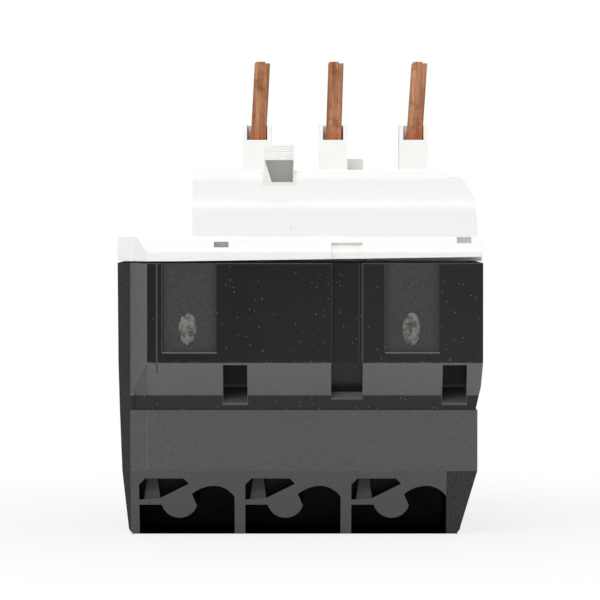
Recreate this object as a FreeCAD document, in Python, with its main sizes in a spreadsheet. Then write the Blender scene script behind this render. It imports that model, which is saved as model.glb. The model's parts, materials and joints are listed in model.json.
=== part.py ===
import FreeCAD, Part
import Sketcher
import math
import os
import re

# Thermal overload relay for a contactor.  Front -Y, rear +Y, +Z up, origin under the middle of the body.
# All sizes are millimetres.  Every entry below is one cell of the spreadsheet, under the same alias.

SIZES = {
    # outside of the black base
    "half_wide": 22.4, "rear": 35, "foot_rear": 32.3, "foot_inset": 3.2, "crease": 7.95, "ledge": 15.4,
    "groove": 3.0, "groove_top": 17.2, "slope_top": 21.3, "base_top": 33.5,
    "load_front": -17, "control_front": -27, "control_floor": 11, "case_floor": 21.5, "base_front": -20,
    "waist": 0.6, "foot_draw": 2.0, "foot_corner": 0.9, "groove_side": 0.22, "shoulder_low": 18.2,
    "shoulder_draw": 0.2, "shell_draw": 1.25, "shell_crease": 0.57, "shell_waist": 0.27,
    "shell_shoulder": 0.1,
    # side shell and its joint line
    "shell_skin": 1.9, "shell_wrap": 6.8, "joint_high": 17.5, "joint_low": 18.75,
    "corner_start": 18.7, "corner_end": 20.8, "corner_depth": 2.7,
    # rear wall features
    "recess_deep": 0.45, "recess_low": 22.6, "recess_wide": 6.65,
    "recess_left": 13.55, "recess_right": -13.75,
    "channel_mid": -5.75, "channel_wide": 3.8, "channel_deep": 1.1, "channel_low": 16.8,
    "channel_flare": 0.25, "channel_ramp": 0.8,
    "notch_left": 7.95, "notch_right": -18.95, "notch_wide": 2.95, "notch_top": 21.0, "notch_floor": 16.1,
    "notch_deep": 6.5, "tongue_top": 18.2, "tongue_reach": 3.0,
    # inside of the base
    "wall": 1.5, "cavity_front": -18, "cavity_rear": 28, "cavity_floor": 12, "cavity_right": 19.3,
    "cavity_left": -20.8, "partition": 1.4, "partition_top": 29.3, "bay_front": 8.5,
    # poles
    "pole_pitch": 13.06, "pole_first": 13.93,
    # load chambers seen from the rear
    "chamber_half": 5.87, "mouth_top": 3.67, "mouth_back": 10, "rib_foot": 3.1, "nose_round": 2.26,
    "nose_right": 1.22, "nose_low": 3.55, "nose_top_x": 0.61, "nose_top": 5.0, "arch_x": 3.55,
    "arch_top": 6.05, "arch_round": 4.4, "arch_side": 4.65, "arch_end": 3.1, "window_back": 26,
    "window_low": 4.3, "window_shoulder": 6.2, "window_top": 6.97,
    "window_left": 5.1, "window_right": 0.4,
    "window_tip": 0.25, "window_tip_z": 6.3, "window_slant": 3.2, "window_slant_z": 4.55,
    "post_x": 4.28, "post_y": 29.0, "post_foot": 1.04, "post_tip": 0.6,
    # load terminals: screw along Y, box clamp round bar and wire
    "load_bay_half": 4.6, "load_bay_front": -10.5, "load_bay_rear": 6.2, "load_bay_top": 10.8,
    "load_axis": 6, "tunnel": 3.6, "load_shank": 1.9, "load_head": 3.2, "load_head_back": -11.2,
    "load_head_high": 2.2, "load_slot": 1.0, "load_slot_deep": 1.1, "bar_front": -3, "bar_thick": 1.2,
    "bar_half": 3, "bar_low": 2.2, "bar_rear": 17.6, "screw_gap": 0.03, "fit_gap": 0.06,
    "clamp_half": 4.2, "clamp_wall": 1.0, "clamp_front": -7.2, "clamp_nut": 1.4, "clamp_rear": 5.0,
    "clamp_low": 2.6, "clamp_high": 9.4,
    # control terminals
    "control_pitch": 10.2, "control_first": 15.3, "control_half": 4.2, "control_back": -19.0,
    "control_top": 20.6, "control_axis": 15.6, "control_shank": 1.7, "control_head": 2.8,
    "control_bar_thick": 1.0, "control_bar_half": 3.2, "control_bar_low": 12.0, "control_bar_top": 19.4,
    "tail_half": 1.2, "tail_low": 18.4, "tail_end": -11, "plate_gap": 1.6, "plate_thick": 1.0,
    "plate_half": 3.0, "control_head_high": 1.8, "control_shank_long": 4.6, "screw_well": 1.9,
    # upper housing
    "seam": 33.7, "seam_gap": 0.55, "lip_top": 34.8, "ledge_top": 36.7, "ledge_back": 1.7,
    "tier_low": 40.0, "tier_round": 1.1, "tier_mid": 41.1, "tier_step": 0.5, "tier_high": 43.5,
    "top": 44.9, "top_round": 1.4, "step_x": 13.2, "front_case": -31,
    "end_x": -18.3, "end_low": 43.9, "end_slope_x": -19.9, "end_x_out": -21.5, "end_z_out": 41.4,
    "skirt_front": -20.3, "skin": 1.4, "case_inner_rear": 29.5, "lip_drop": 1.4, "lip_thick": 1.0,
    "lip_gap": 0.15, "slot_deep": 2.5, "slot_left": 9.65, "slot_right": -20.1, "slot_wide": 1.8,
    "slot_low": 35.4, "slot_high": 36.1, "slot_right_low": 35.9, "slot_right_high": 36.65,
    "valley_deep": 0.5,
    # pin sockets, hook and tab
    "pin_one": 5.45, "pin_two": -4.2, "pin_three": -14.4, "pin_y": 8, "socket_half": 1.79,
    "socket_deep": 3.3, "socket_wall": 0.5, "socket_rear": 48.9, "socket_top": 50.8,
    "hook_left": 4.4, "hook_right": 0.75, "hook_rear": 32.6, "hook_stem": 27.4, "hook_barb": 46.1,
    "hook_top": 48.0, "hook_pit": 43.4, "hook_cheek": 0.12, "hook_slant": 0.8,
    "tab_left": -6.05, "tab_right": -8.1, "tab_front": 2.2, "tab_rear": 4.2, "tab_top": 46.55,
    # line pins
    "pin_thick": 1.93, "pin_fold": 0.62, "pin_wide": 4.5, "pin_tip": 58.85, "pin_root": 35.2,
    "pin_nick": 0.2, "pin_bend": 46.5, "seam_half": 0.06, "seam_deep": 0.15, "lead_low": 34.0,
    "lead_front": 6.2, "lead_rear": 9.8, "leg_low": 26.0, "lead_half": 1.5,
    "leg_half": 1.0, "leg_thick": 1.0,
    "lean_one": 0.66, "lean_two": 0.38, "lean_three": 0.84,
    # bimetals and heaters
    "bimetal_y": 15, "bimetal_half": 2.5, "bimetal_thick": 0.8, "bimetal_top": 32.3, "foot_top": 13.2,
    "coil_side": 1.9, "coil_deep": 3.4, "coil_tape": 0.7, "coil_low": 15.0,
    "coil_pitch": 1.75, "coil_turns": 6,
    # sliders
    "slider_low": 29.6, "slider_thick": 1.0, "slider_gap": 0.3, "slider_front": 11.6, "slider_rear": 18.4,
    "slider_left": -19.0, "slider_right": 18.1, "slot_near": 0.5, "slot_far": 2.2, "slot_half_y": 2.8,
    "finger_left": 16.9, "finger_front": -3.5,
    # compensation lever
    "comp_x": 15.9, "comp_y": -7.5, "comp_low": 24, "comp_hub": 2.0, "pivot": 0.8,
    "arm_thick": 1.2, "comp_front": -10.3, "comp_rear": -1.9,
    # trip lever and contacts
    "trip_x": 1.5, "trip_z": 24.5, "trip_rear": -7, "trip_hub": 2.2, "trip_arm": 9.0,
    "blade_thick": 0.4, "button_round": 1.0, "button_high": 0.6,
   
    # front panel
    "panel_front": -33, "panel_low": 21.7, "dial_x": -9.5, "dial_z": 32.8, "dial_hole": 6.5,
    "dial_round": 6.2, "dial_face": -33.3, "dial_rim": 7.2, "dial_slot": 1.2, "dial_slot_deep": 1.2,
    "dial_shaft": 2.0, "dial_back": -23.4, "cam_round": 3.0, "cam_offset": 0.9, "cam_front": -27,
    "cam_rear": -24.6, "button_x": 6.4, "reset_z": 38.2, "stop_z": 28.4, "collar_round": 4.0,
    "collar_hole": 4.3, "collar_flange": 0.8, "stop_round": 3.0, "reset_round": 2.5, "button_gap": 0.3,
    "button_out": -34.6, "collar_out": -33.9, "button_flange": 0.9, "button_back": -24,
    "flag_x": 0.3, "flag_z": 27.4,
    "flag_half_x": 1.1, "flag_half_z": 2.0, "flag_travel": 1.6, "flag_edge": 0.4,
    # adjusting lever beside the cam
    "adjust_x": 2.2, "adjust_z": 32.8, "adjust_hub": 1.6,
    # clear cover
    "cover_axis_x": -21.0, "cover_axis_y": -34.1, "cover_low": 23.6,
    "cover_high": 42.6, "cover_right": -2.0,
    "cover_front": -35, "cover_skin": 0.9, "cover_barrel": 0.9, "cover_pin": 0.45, "cover_lug": 1.6,
    "cover_lip": 0.5,
}

doc = FreeCAD.newDocument("thermal_overload_relay")
sheet = doc.addObject("Spreadsheet::Sheet", "sizes")
pieces = []


def fill_sheet():
    """One row per driving dimension: its name, its number and its alias."""
    for row, (alias, number) in enumerate(SIZES.items(), start=1):
        sheet.set("A%d" % row, alias)
        sheet.set("B%d" % row, str(number))
        sheet.setAlias("B%d" % row, alias)
    doc.recompute()


ALIAS = re.compile(r"[a-z][a-z_]*")


def bound(text):
    """The expression with every alias pointed at the sheet."""
    return ALIAS.sub(lambda word: "sizes." + word.group(0), str(text))


def amount(text):
    """The number that an expression of aliases comes to."""
    return float(sheet.evalExpression(bound(text)))


# ---------------------------------------------------------------- tools for bodies

# view name: origin plane, and +1 where the plane's normal points along the positive axis
VIEWS = {"plan": ("XY_Plane", 1), "face": ("XZ_Plane", -1), "side": ("YZ_Plane", 1)}


def new_body(label):
    """An empty body that becomes one node of the relay."""
    body = doc.addObject("PartDesign::Body", label)
    body.Label = label
    pieces.append(body)
    return body


def box(left, low, right, high):
    """Outline of a rectangle."""
    return [(left, low), (right, low), (right, high), (left, high)]


def disc(across, up, radius):
    """Outline of a circle."""
    return ("disc", across, up, radius)


def arc_of(start, end, radius, turn):
    """The short arc from start to end, bending left or right of the way it runs."""
    chord = end - start
    middle = (start + end) * 0.5
    left = FreeCAD.Vector(-chord.y, chord.x, 0).normalize()
    sense = 1 if turn == "left" else -1
    centre = middle + left * (sense * math.sqrt(max(radius ** 2 - chord.Length ** 2 / 4, 0)))
    if sense < 0:
        start, end = end, start
    first = math.atan2(start.y - centre.y, start.x - centre.x)
    last = math.atan2(end.y - centre.y, end.x - centre.x)
    circle = Part.Circle(centre, FreeCAD.Vector(0, 0, 1), radius)
    return Part.ArcOfCircle(circle, first, last)


def pin_value(sketch, kind, place, number, text):
    """One dimension of a sketch, bound to the sheet."""
    index = sketch.addConstraint(Sketcher.Constraint(kind, *place, number))
    sketch.setExpression("Constraints[%d]" % index, bound(text))


def draw_disc(sketch, outline):
    """A circle held by its centre and radius."""
    across, up, radius = outline[1:]
    centre = FreeCAD.Vector(amount(across), amount(up), 0)
    size = amount(radius)
    ring = sketch.addGeometry(Part.Circle(centre, FreeCAD.Vector(0, 0, 1), size))
    pin_value(sketch, "DistanceX", (-1, 1, ring, 3), centre.x, across)
    pin_value(sketch, "DistanceY", (-1, 1, ring, 3), centre.y, up)
    pin_value(sketch, "Radius", (ring,), size, radius)


def draw_outline(sketch, outline):
    """A closed outline.  A corner (u, v) is reached by a line, a corner (u, v, radius, turn) by an arc."""
    spots = [FreeCAD.Vector(amount(corner[0]), amount(corner[1]), 0) for corner in outline]
    ends = []
    for index, corner in enumerate(outline):
        start, end = spots[index - 1], spots[index]
        if len(corner) == 2:
            edge = sketch.addGeometry(Part.LineSegment(start, end))
            ends.append((edge, 1, 2))
            continue
        radius = amount(corner[2])
        edge = sketch.addGeometry(arc_of(start, end, radius, corner[3]))
        ends.append((edge, 1, 2) if corner[3] == "left" else (edge, 2, 1))
    for index, (edge, _, tail) in enumerate(ends):
        following, head, _ = ends[(index + 1) % len(ends)]
        sketch.addConstraint(Sketcher.Constraint("Coincident", edge, tail, following, head))
    for corner, spot, (edge, _, tail) in zip(outline, spots, ends):
        pin_value(sketch, "DistanceX", (-1, 1, edge, tail), spot.x, corner[0])
        pin_value(sketch, "DistanceY", (-1, 1, edge, tail), spot.y, corner[1])
        if len(corner) == 4:
            pin_value(sketch, "Radius", (edge,), amount(corner[2]), corner[2])


def new_sketch(body, view, outlines, start):
    """A sketch on one of the body's own origin planes, moved along that plane's normal."""
    role = VIEWS[view][0]
    plane = [item for item in body.Origin.OriginFeatures if item.Role == role][0]
    sketch = body.newObject("Sketcher::SketchObject", body.Label + "_sketch")
    sketch.AttachmentSupport = [(plane, "")]
    sketch.MapMode = "FlatFace"
    sketch.setExpression("AttachmentOffset.Base.z", bound(start))
    for outline in outlines:
        if outline[0] == "disc":
            draw_disc(sketch, outline)
        else:
            draw_outline(sketch, outline)
    return sketch


def volume_of(body):
    """Volume so far, nothing for a body that has no feature yet."""
    return 0.0 if body.Shape.isNull() else body.Shape.Volume


def settle(body, feature, before, sense):
    """Recompute and make sure that the feature added (+1) or removed (-1) material."""
    doc.recompute()
    if "Invalid" in feature.State or "Error" in feature.State:
        raise RuntimeError("%s: %s failed" % (body.Label, feature.Name))
    if (volume_of(body) - before) * sense <= 1e-6:
        raise RuntimeError("%s: %s changed nothing" % (body.Label, feature.Name))
    return feature


def extrude(body, kind, view, outlines, low, high):
    """Pad or pocket between two heights along the view's axis."""
    before = volume_of(body)
    upward = VIEWS[view][1] > 0
    start = low if upward else "-(%s)" % high
    sketch = new_sketch(body, view, outlines, start)
    feature = body.newObject("PartDesign::" + kind, body.Label + "_" + kind.lower())
    feature.Profile = sketch
    feature.setExpression("Length", bound("(%s) - (%s)" % (high, low)))
    if kind == "Pocket":
        feature.Reversed = True
    return settle(body, feature, before, 1 if kind == "Pad" else -1)


def add(body, view, outlines, low, high):
    """Material inside the outlines, from low to high."""
    return extrude(body, "Pad", view, outlines, low, high)


def cut(body, view, outlines, low, high):
    """Room inside the outlines, from low to high."""
    return extrude(body, "Pocket", view, outlines, low, high)


def turn_profile(body, outline):
    """A solid of revolution about the body's own Z axis; the outline gives radius and height."""
    before = volume_of(body)
    sketch = new_sketch(body, "face", [outline], "0")
    feature = body.newObject("PartDesign::Revolution", body.Label + "_turned")
    feature.Profile = sketch
    feature.ReferenceAxis = (sketch, ["V_Axis"])
    feature.Angle = 360
    return settle(body, feature, before, 1)


def dress(body, kind, size, test):
    """Fillet or chamfer on the edges whose middle point and direction pass the test."""
    before = volume_of(body)
    names = []
    for number, edge in enumerate(body.Tip.Shape.Edges, start=1):
        if edge.Curve.TypeId != "Part::GeomLine":
            continue
        middle = edge.valueAt((edge.FirstParameter + edge.LastParameter) / 2)
        if test(middle, edge.Curve.Direction):
            names.append("Edge%d" % number)
    base = body.Tip
    feature = body.newObject("PartDesign::" + kind, body.Label + "_" + kind.lower())
    feature.Base = (base, names)
    feature.setExpression("Radius" if kind == "Fillet" else "Size", bound(size))
    doc.recompute()
    if not names or "Invalid" in feature.State or abs(volume_of(body) - before) < 1e-9:
        raise RuntimeError("%s: %s on %d edges failed" % (body.Label, kind, len(names)))
    return feature


def place(body, across, deep, up, rotation=None):
    """Put a body built at its own origin where it belongs."""
    body.Placement = FreeCAD.Placement(FreeCAD.Vector(), rotation or FreeCAD.Rotation())
    for axis, text in zip("xyz", (across, deep, up)):
        body.setExpression("Placement.Base." + axis, bound(text))


# local Z turned to point out of the front, along -Y
FACING_FRONT = FreeCAD.Rotation(FreeCAD.Vector(1, 0, 0), 90)


def pole(number):
    """Middle of one pole, counted from the +X side."""
    return "(pole_first - %d * pole_pitch)" % number


def control(number):
    """Middle of one control terminal, counted from the +X side."""
    return "(control_first - %d * control_pitch)" % number


def near(first, second, slack=0.02):
    return abs(first - second) < slack


# ---------------------------------------------------------------- black base and side shell

def base_profile():
    """Side outline of the base: sloping foot, crease, ledge, groove, shoulder that overhangs, rear wall."""
    return [
        ("load_front", "0"),
        ("foot_rear - foot_inset", "0"),
        ("foot_rear", "crease"),
        ("foot_rear", "ledge"),
        ("rear - groove", "ledge"),
        ("rear - groove", "groove_top"),
        ("rear", "slope_top"),
        ("rear", "base_top"),
        ("base_front", "base_top"),
        ("base_front", "case_floor"),
        ("control_front", "case_floor"),
        ("control_front", "control_floor"),
        ("load_front", "control_floor"),
    ]


def chamber_mouth(middle):
    """Lower opening of a load chamber: straight left wall, half-round nose, arch, straight right wall."""
    return [
        (middle + " + chamber_half", "-1"),
        (middle + " + chamber_half", "mouth_top"),
        (middle + " + rib_foot", "mouth_top"),
        (middle + " - nose_right", "nose_low", "nose_round", "right"),
        (middle + " - nose_top_x", "nose_top"),
        (middle + " - arch_x", "arch_top", "arch_round", "left"),
        (middle + " - chamber_half", "arch_side", "arch_end", "left"),
        (middle + " - chamber_half", "-1"),
    ]


def chamber_window(middle):
    """Upper opening of a load chamber, above the slanting rib."""
    return [
        (middle + " + chamber_half", "window_low"),
        (middle + " + chamber_half", "window_shoulder"),
        (middle + " + window_left", "window_top"),
        (middle + " + window_right", "window_top"),
        (middle + " - window_tip", "window_tip_z"),
        (middle + " + window_slant", "window_slant_z"),
    ]


def carve_chambers(body):
    """The three chambers as they open through the sloping foot of the rear wall."""
    cut(body, "face", [chamber_mouth(pole(n)) for n in range(3)], "mouth_back", "rear + 1")
    cut(body, "face", [chamber_window(pole(n)) for n in range(3)], "window_back", "rear + 1")
    for number in range(3):
        before = volume_of(body)
        post = body.newObject("PartDesign::AdditiveWedge", "chamber_post")
        for near_end, far_end, size in (("Xmin", "Xmax", "post_foot"), ("Zmin", "Zmax", "post_foot"),
                                        ("X2min", "X2max", "post_tip"), ("Z2min", "Z2max", "post_tip")):
            post.setExpression(near_end, bound("-" + size))
            post.setExpression(far_end, bound(size))
        post.Ymin = 0
        post.setExpression("Ymax", bound("window_top - window_low + 0.3"))
        post.Placement.Rotation = FreeCAD.Rotation(FreeCAD.Vector(1, 0, 0), 90)
        post.setExpression("Placement.Base.x", bound(pole(number) + " + post_x"))
        post.setExpression("Placement.Base.y", bound("post_y"))
        post.setExpression("Placement.Base.z", bound("window_low - 0.2"))
        settle(body, post, before, 1)


def carve_load_bays(body):
    """Wire bays open below, screw tunnels from the front, slots in the roof for the bars."""
    bays = []
    tunnels = []
    slots = []
    for number in range(3):
        middle = pole(number)
        bays.append(box(middle + " - load_bay_half", "load_bay_front", middle + " + load_bay_half",
                        "load_bay_rear"))
        tunnels.append(disc(middle, "load_axis", "tunnel"))
        slots.append(box(middle + " - bar_half - fit_gap", "bar_front - fit_gap",
                         middle + " + bar_half + fit_gap", "bar_front + bar_thick + fit_gap"))
    cut(body, "plan", bays, "-1", "load_bay_top")
    cut(body, "face", tunnels, "load_front - 1", "load_bay_front + 1")
    cut(body, "plan", slots, "load_bay_top - 1", "cavity_floor + 1")


def carve_control_bays(body):
    """Four bays open to the front and below, with a slot for each bar's tail and a well for each screw."""
    bays = []
    tails = []
    wells = []
    for number in range(4):
        middle = control(number)
        bays.append(box(middle + " - control_half", "control_floor - 1", middle + " + control_half",
                        "control_top"))
        tails.append(box(middle + " - tail_half - fit_gap", "tail_low - fit_gap",
                         middle + " + tail_half + fit_gap", "control_bar_top + fit_gap"))
        wells.append(disc(middle, "control_axis", "screw_well"))
    cut(body, "face", bays, "control_front - 1", "control_back")
    cut(body, "face", tails, "control_back - 1", "cavity_front + 1")
    cut(body, "face", wells, "control_back - 1", "cavity_front + 1")


def base_housing():
    """Black moulding that carries everything: rear wall, load chambers, bimetal bays, terminal bays."""
    body = new_body("base_housing")
    add(body, "side", [base_profile()], "-half_wide", "half_wide - shell_skin")
    # room for the side shell where it wraps round the rear corner
    wrap = box("joint_high", "rear - shell_wrap", "half_wide", "rear + 1")
    cut(body, "plan", [wrap], "ledge", "base_top + 1")
    cut(body, "plan", [box("joint_low", "rear - shell_wrap", "half_wide", "rear + 1")], "crease", "ledge")
    # waist and draw of the free flank
    flank = [
        ("-half_wide - 1", "-1"),
        ("-half_wide + waist + foot_draw + foot_corner", "-1"),
        ("-half_wide + waist + foot_draw + foot_corner", "0"),
        ("-half_wide + waist + foot_draw", "foot_corner", "foot_corner", "right"),
        ("-half_wide + waist", "crease"),
        ("-half_wide + waist", "ledge"),
        ("-half_wide + waist + groove_side", "ledge"),
        ("-half_wide + shoulder_draw", "shoulder_low"),
        ("-half_wide", "slope_top"),
        ("-half_wide - 1", "slope_top"),
    ]
    cut(body, "face", [flank], "control_front - 1", "rear + 1")
    # one hollow inside, with two partitions between the poles
    hollow = box("cavity_left", "cavity_front", "cavity_right", "cavity_rear")
    cut(body, "plan", [hollow], "cavity_floor", "base_top + 1")
    walls = []
    for number in range(2):
        middle = "(pole_first - %s * pole_pitch)" % (number + 0.5)
        walls.append(box(middle + " - partition / 2", "bay_front",
                         middle + " + partition / 2", "cavity_rear"))
    add(body, "plan", walls, "cavity_floor - 0.5", "partition_top")
    carve_load_bays(body)
    carve_control_bays(body)
    carve_chambers(body)
    # textured recesses, channel, notches with their tongues
    recesses = [
        box(middle + " - recess_wide / 2", "recess_low", middle + " + recess_wide / 2", "base_top + 1")
        for middle in ("recess_left", "recess_right")
    ]
    cut(body, "face", recesses, "rear - recess_deep", "rear + 1")
    channel = [
        ("channel_mid - channel_wide / 2 - channel_flare", "channel_low"),
        ("channel_mid + channel_wide / 2 + channel_flare", "channel_low"),
        ("channel_mid + channel_wide / 2", "slope_top"),
        ("channel_mid + channel_wide / 2", "base_top + 1"),
        ("channel_mid - channel_wide / 2", "base_top + 1"),
        ("channel_mid - channel_wide / 2", "slope_top"),
    ]
    cut(body, "face", [channel], "rear - channel_deep", "rear + 1")
    # the channel's floor runs parallel to the slope, then ramps out to the polished band
    run_out = [
        ("rear + 1", "slope_top + 0.1"),
        ("rear - channel_deep", "slope_top + 0.1"),
        ("rear - channel_deep", "slope_top"),
        ("rear - groove - channel_deep", "channel_low + channel_ramp"),
        ("rear - groove - 0.1", "channel_low"),
        ("rear + 1", "channel_low"),
    ]
    cut(body, "side", [run_out], "channel_mid - channel_wide / 2", "channel_mid + channel_wide / 2")
    notches = [
        box(middle + " - notch_wide / 2", "notch_floor", middle + " + notch_wide / 2", "notch_top")
        for middle in ("notch_left", "notch_right")
    ]
    cut(body, "face", notches, "rear - notch_deep", "rear + 1")
    tongue = [
        ("rear - notch_deep - 0.2", "notch_floor - 0.1"),
        ("rear - tongue_reach", "notch_floor - 0.1"),
        ("rear - tongue_reach", "notch_floor + 0.2"),
        ("rear - notch_deep - 0.2", "tongue_top"),
    ]
    for middle in ("notch_left", "notch_right"):
        add(body, "side", [tongue], middle + " - notch_wide / 2", middle + " + notch_wide / 2")
    return body


def corner_cut():
    """Plan of the bevel and the set-back band on the rear corner of the +X side."""
    return [
        ("corner_start", "rear + 1"),
        ("corner_start", "rear"),
        ("corner_end", "rear - corner_depth"),
        ("half_wide + 1", "rear - corner_depth"),
        ("half_wide + 1", "rear + 1"),
    ]


def side_shell():
    """Black cheek on the +X side, wrapping round the rear corner."""
    body = new_body("side_shell")
    add(body, "side", [base_profile()], "joint_high", "half_wide")
    inner = box("joint_high - 1", "control_front - 1", "half_wide - shell_skin", "rear - shell_wrap")
    cut(body, "plan", [inner], "-1", "base_top + 1")
    cut(body, "plan", [box("joint_high - 1", "0", "joint_low", "rear + 1")], "-1", "ledge")
    cut(body, "plan", [box("joint_high - 1", "0", "half_wide - shell_skin", "rear + 1")], "-1", "crease")
    cut(body, "plan", [corner_cut()], "ledge", "base_top + 1")
    # the set-back band runs down over the end of the shadow groove
    band = box("corner_end - 0.4", "rear - shell_wrap", "half_wide", "rear - corner_depth")
    add(body, "plan", [band], "ledge - 0.2", "slope_top")
    flank = [
        ("half_wide + 1", "-1"),
        ("half_wide - shell_draw - foot_corner", "-1"),
        ("half_wide - shell_draw - foot_corner", "0"),
        ("half_wide - shell_draw", "foot_corner", "foot_corner", "left"),
        ("half_wide - shell_crease", "crease"),
        ("half_wide - shell_waist", "ledge"),
        ("half_wide - shell_shoulder", "slope_top"),
        ("half_wide", "base_top"),
        ("half_wide + 1", "base_top"),
    ]
    cut(body, "face", [flank], "control_front - 1", "rear + 1")
    return body


# ---------------------------------------------------------------- white upper housing

def upper_profile():
    """Side outline of the upper housing: rear ledge, two rounded tiers, flat top, front apron."""
    return [
        ("rear", "seam"),
        ("rear", "lip_top"),
        ("rear - ledge_back", "ledge_top"),
        ("rear - ledge_back", "tier_low"),
        ("rear - ledge_back - tier_round", "tier_mid", "tier_round", "left"),
        ("rear - ledge_back - tier_round - tier_step", "tier_mid"),
        ("rear - ledge_back - tier_round - tier_step", "tier_high"),
        ("rear - ledge_back - tier_round - tier_step - top_round", "top", "top_round", "left"),
        ("front_case", "top"),
        ("front_case", "panel_low"),
        ("skirt_front", "panel_low"),
        ("skirt_front", "seam"),
    ]


def top_steps():
    """Face view of what the stepped top leaves out: the low shoulder at +X, the sloping end at -X."""
    shoulder = box("step_x", "ledge_top", "half_wide + 1", "top + 1")
    end = [
        ("-half_wide - 1", "ledge_top"),
        ("end_x_out - 0.3", "ledge_top"),
        ("end_x_out", "end_z_out"),
        ("end_slope_x", "end_low"),
        ("end_x", "end_low"),
        ("end_x", "top + 1"),
        ("-half_wide - 1", "top + 1"),
    ]
    return [shoulder, end]


def pin_place(number):
    """Middle of one line pin."""
    return ("pin_one", "pin_two", "pin_three")[number]


def add_sockets(body):
    """Towers round the line pins, lower at the rear than at the sides, with the pin slots."""
    towers = []
    windows = []
    slots = []
    for number in range(3):
        middle = pin_place(number)
        towers.append(box(middle + " - socket_half", "pin_y - socket_deep", middle + " + socket_half",
                          "pin_y + socket_deep"))
        windows.append(box(middle + " - socket_half + socket_wall", "socket_rear",
                           middle + " + socket_half - socket_wall", "socket_top + 1"))
        slots.append(box(middle + " - socket_half + socket_wall", "pin_y - socket_deep + 0.8",
                         middle + " + socket_half - socket_wall", "pin_y + socket_deep - 0.8"))
    add(body, "plan", towers, "top - 0.1", "socket_top")
    cut(body, "face", windows, "pin_y", "pin_y + socket_deep + 1")
    cut(body, "plan", slots, "seam", "socket_top + 1")


def add_hook(body):
    """Latching hook at the rear of the top: stem, barb, and a deep pit below the barb."""
    stem = box("hook_right", "hook_stem", "hook_left", "rear - ledge_back - tier_round - tier_step - 0.1")
    add(body, "plan", [stem], "top - 1.6", "hook_top")
    add(body, "plan", [box("hook_right", "hook_stem", "hook_left", "hook_rear")], "hook_barb", "hook_top")
    pit = [
        ("hook_left - hook_cheek", "hook_barb"),
        ("hook_right + hook_cheek", "hook_barb"),
        ("hook_right + hook_cheek", "hook_pit"),
        ("hook_left - hook_cheek - hook_slant", "hook_pit"),
    ]
    cut(body, "face", [pit], "hook_stem + 1.2", "rear")


def upper_housing():
    """White moulding: stepped rear, roof over the mechanism, apron behind the front panel."""
    body = new_body("upper_housing")
    add(body, "side", [upper_profile()], "-half_wide", "half_wide")
    cut(body, "face", top_steps(), "front_case - 1", "rear + 1")
    # bevel of the rear corner, carried on from the side shell
    cut(body, "plan", [corner_cut()], "seam - 1", "ledge_top + 0.1")
    # the skirt stands a little off the base towards -X
    gap = [("half_wide", "seam - 0.1"), ("-half_wide", "seam + seam_gap"), ("-half_wide", "seam - 0.1")]
    cut(body, "face", [gap], "case_inner_rear + 1.2", "rear + 1")
    # hollow: roof space over the base, and the room behind the front panel
    roof = box("end_x + skin", "skirt_front", "step_x - skin", "case_inner_rear")
    cut(body, "plan", [roof], "seam - 1", "top - skin")
    low_roof = box("step_x - skin - 1", "skirt_front", "cavity_right - skin", "case_inner_rear")
    cut(body, "plan", [low_roof], "seam - 1", "ledge_top - skin")
    front_room = box("-half_wide + skin", "panel_low + skin", "half_wide - skin", "ledge_top - skin")
    cut(body, "face", [front_room], "front_case - 1", "skirt_front - skin")
    middle_room = box("end_x_out + skin", "ledge_top - skin - 1", "step_x - skin", "end_z_out - skin")
    cut(body, "face", [middle_room], "front_case - 1", "skirt_front + 1")
    high_room = box("end_x + skin", "end_z_out - skin - 1", "step_x - skin", "top - skin")
    cut(body, "face", [high_room], "front_case - 1", "skirt_front + 1")
    # ring that drops inside the base
    ring = [
        box("cavity_left + lip_gap", "cavity_front + lip_gap", "cavity_right - lip_gap",
            "cavity_rear - lip_gap"),
        box("cavity_left + lip_gap + lip_thick", "cavity_front + lip_gap + lip_thick",
            "cavity_right - lip_gap - lip_thick", "cavity_rear - lip_gap - lip_thick"),
    ]
    add(body, "plan", [ring[0], ring[1]], "seam - lip_drop", "seam + 1.2")
    # slots and valley of the rear ledge
    slots = [
        box("slot_left - slot_wide / 2", "slot_low", "slot_left + slot_wide / 2", "slot_high"),
        box("slot_right - slot_wide / 2", "slot_right_low", "slot_right + slot_wide / 2", "slot_right_high"),
    ]
    cut(body, "face", slots, "rear - slot_deep", "rear + 1")
    valley = [
        ("rear - valley_deep", "seam - 1"),
        ("rear + 1", "seam - 1"),
        ("rear + 1", "ledge_top"),
        ("rear - ledge_back", "ledge_top - 0.9"),
        ("rear - valley_deep", "lip_top"),
    ]
    cut(body, "side", [valley], "channel_mid - channel_wide / 2", "channel_mid + channel_wide / 2")
    add_sockets(body)
    add_hook(body)
    add(body, "plan", [box("tab_right", "tab_front", "tab_left", "tab_rear")], "top - 0.2", "tab_top")
    return body


# ---------------------------------------------------------------- current path of each pole

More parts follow.
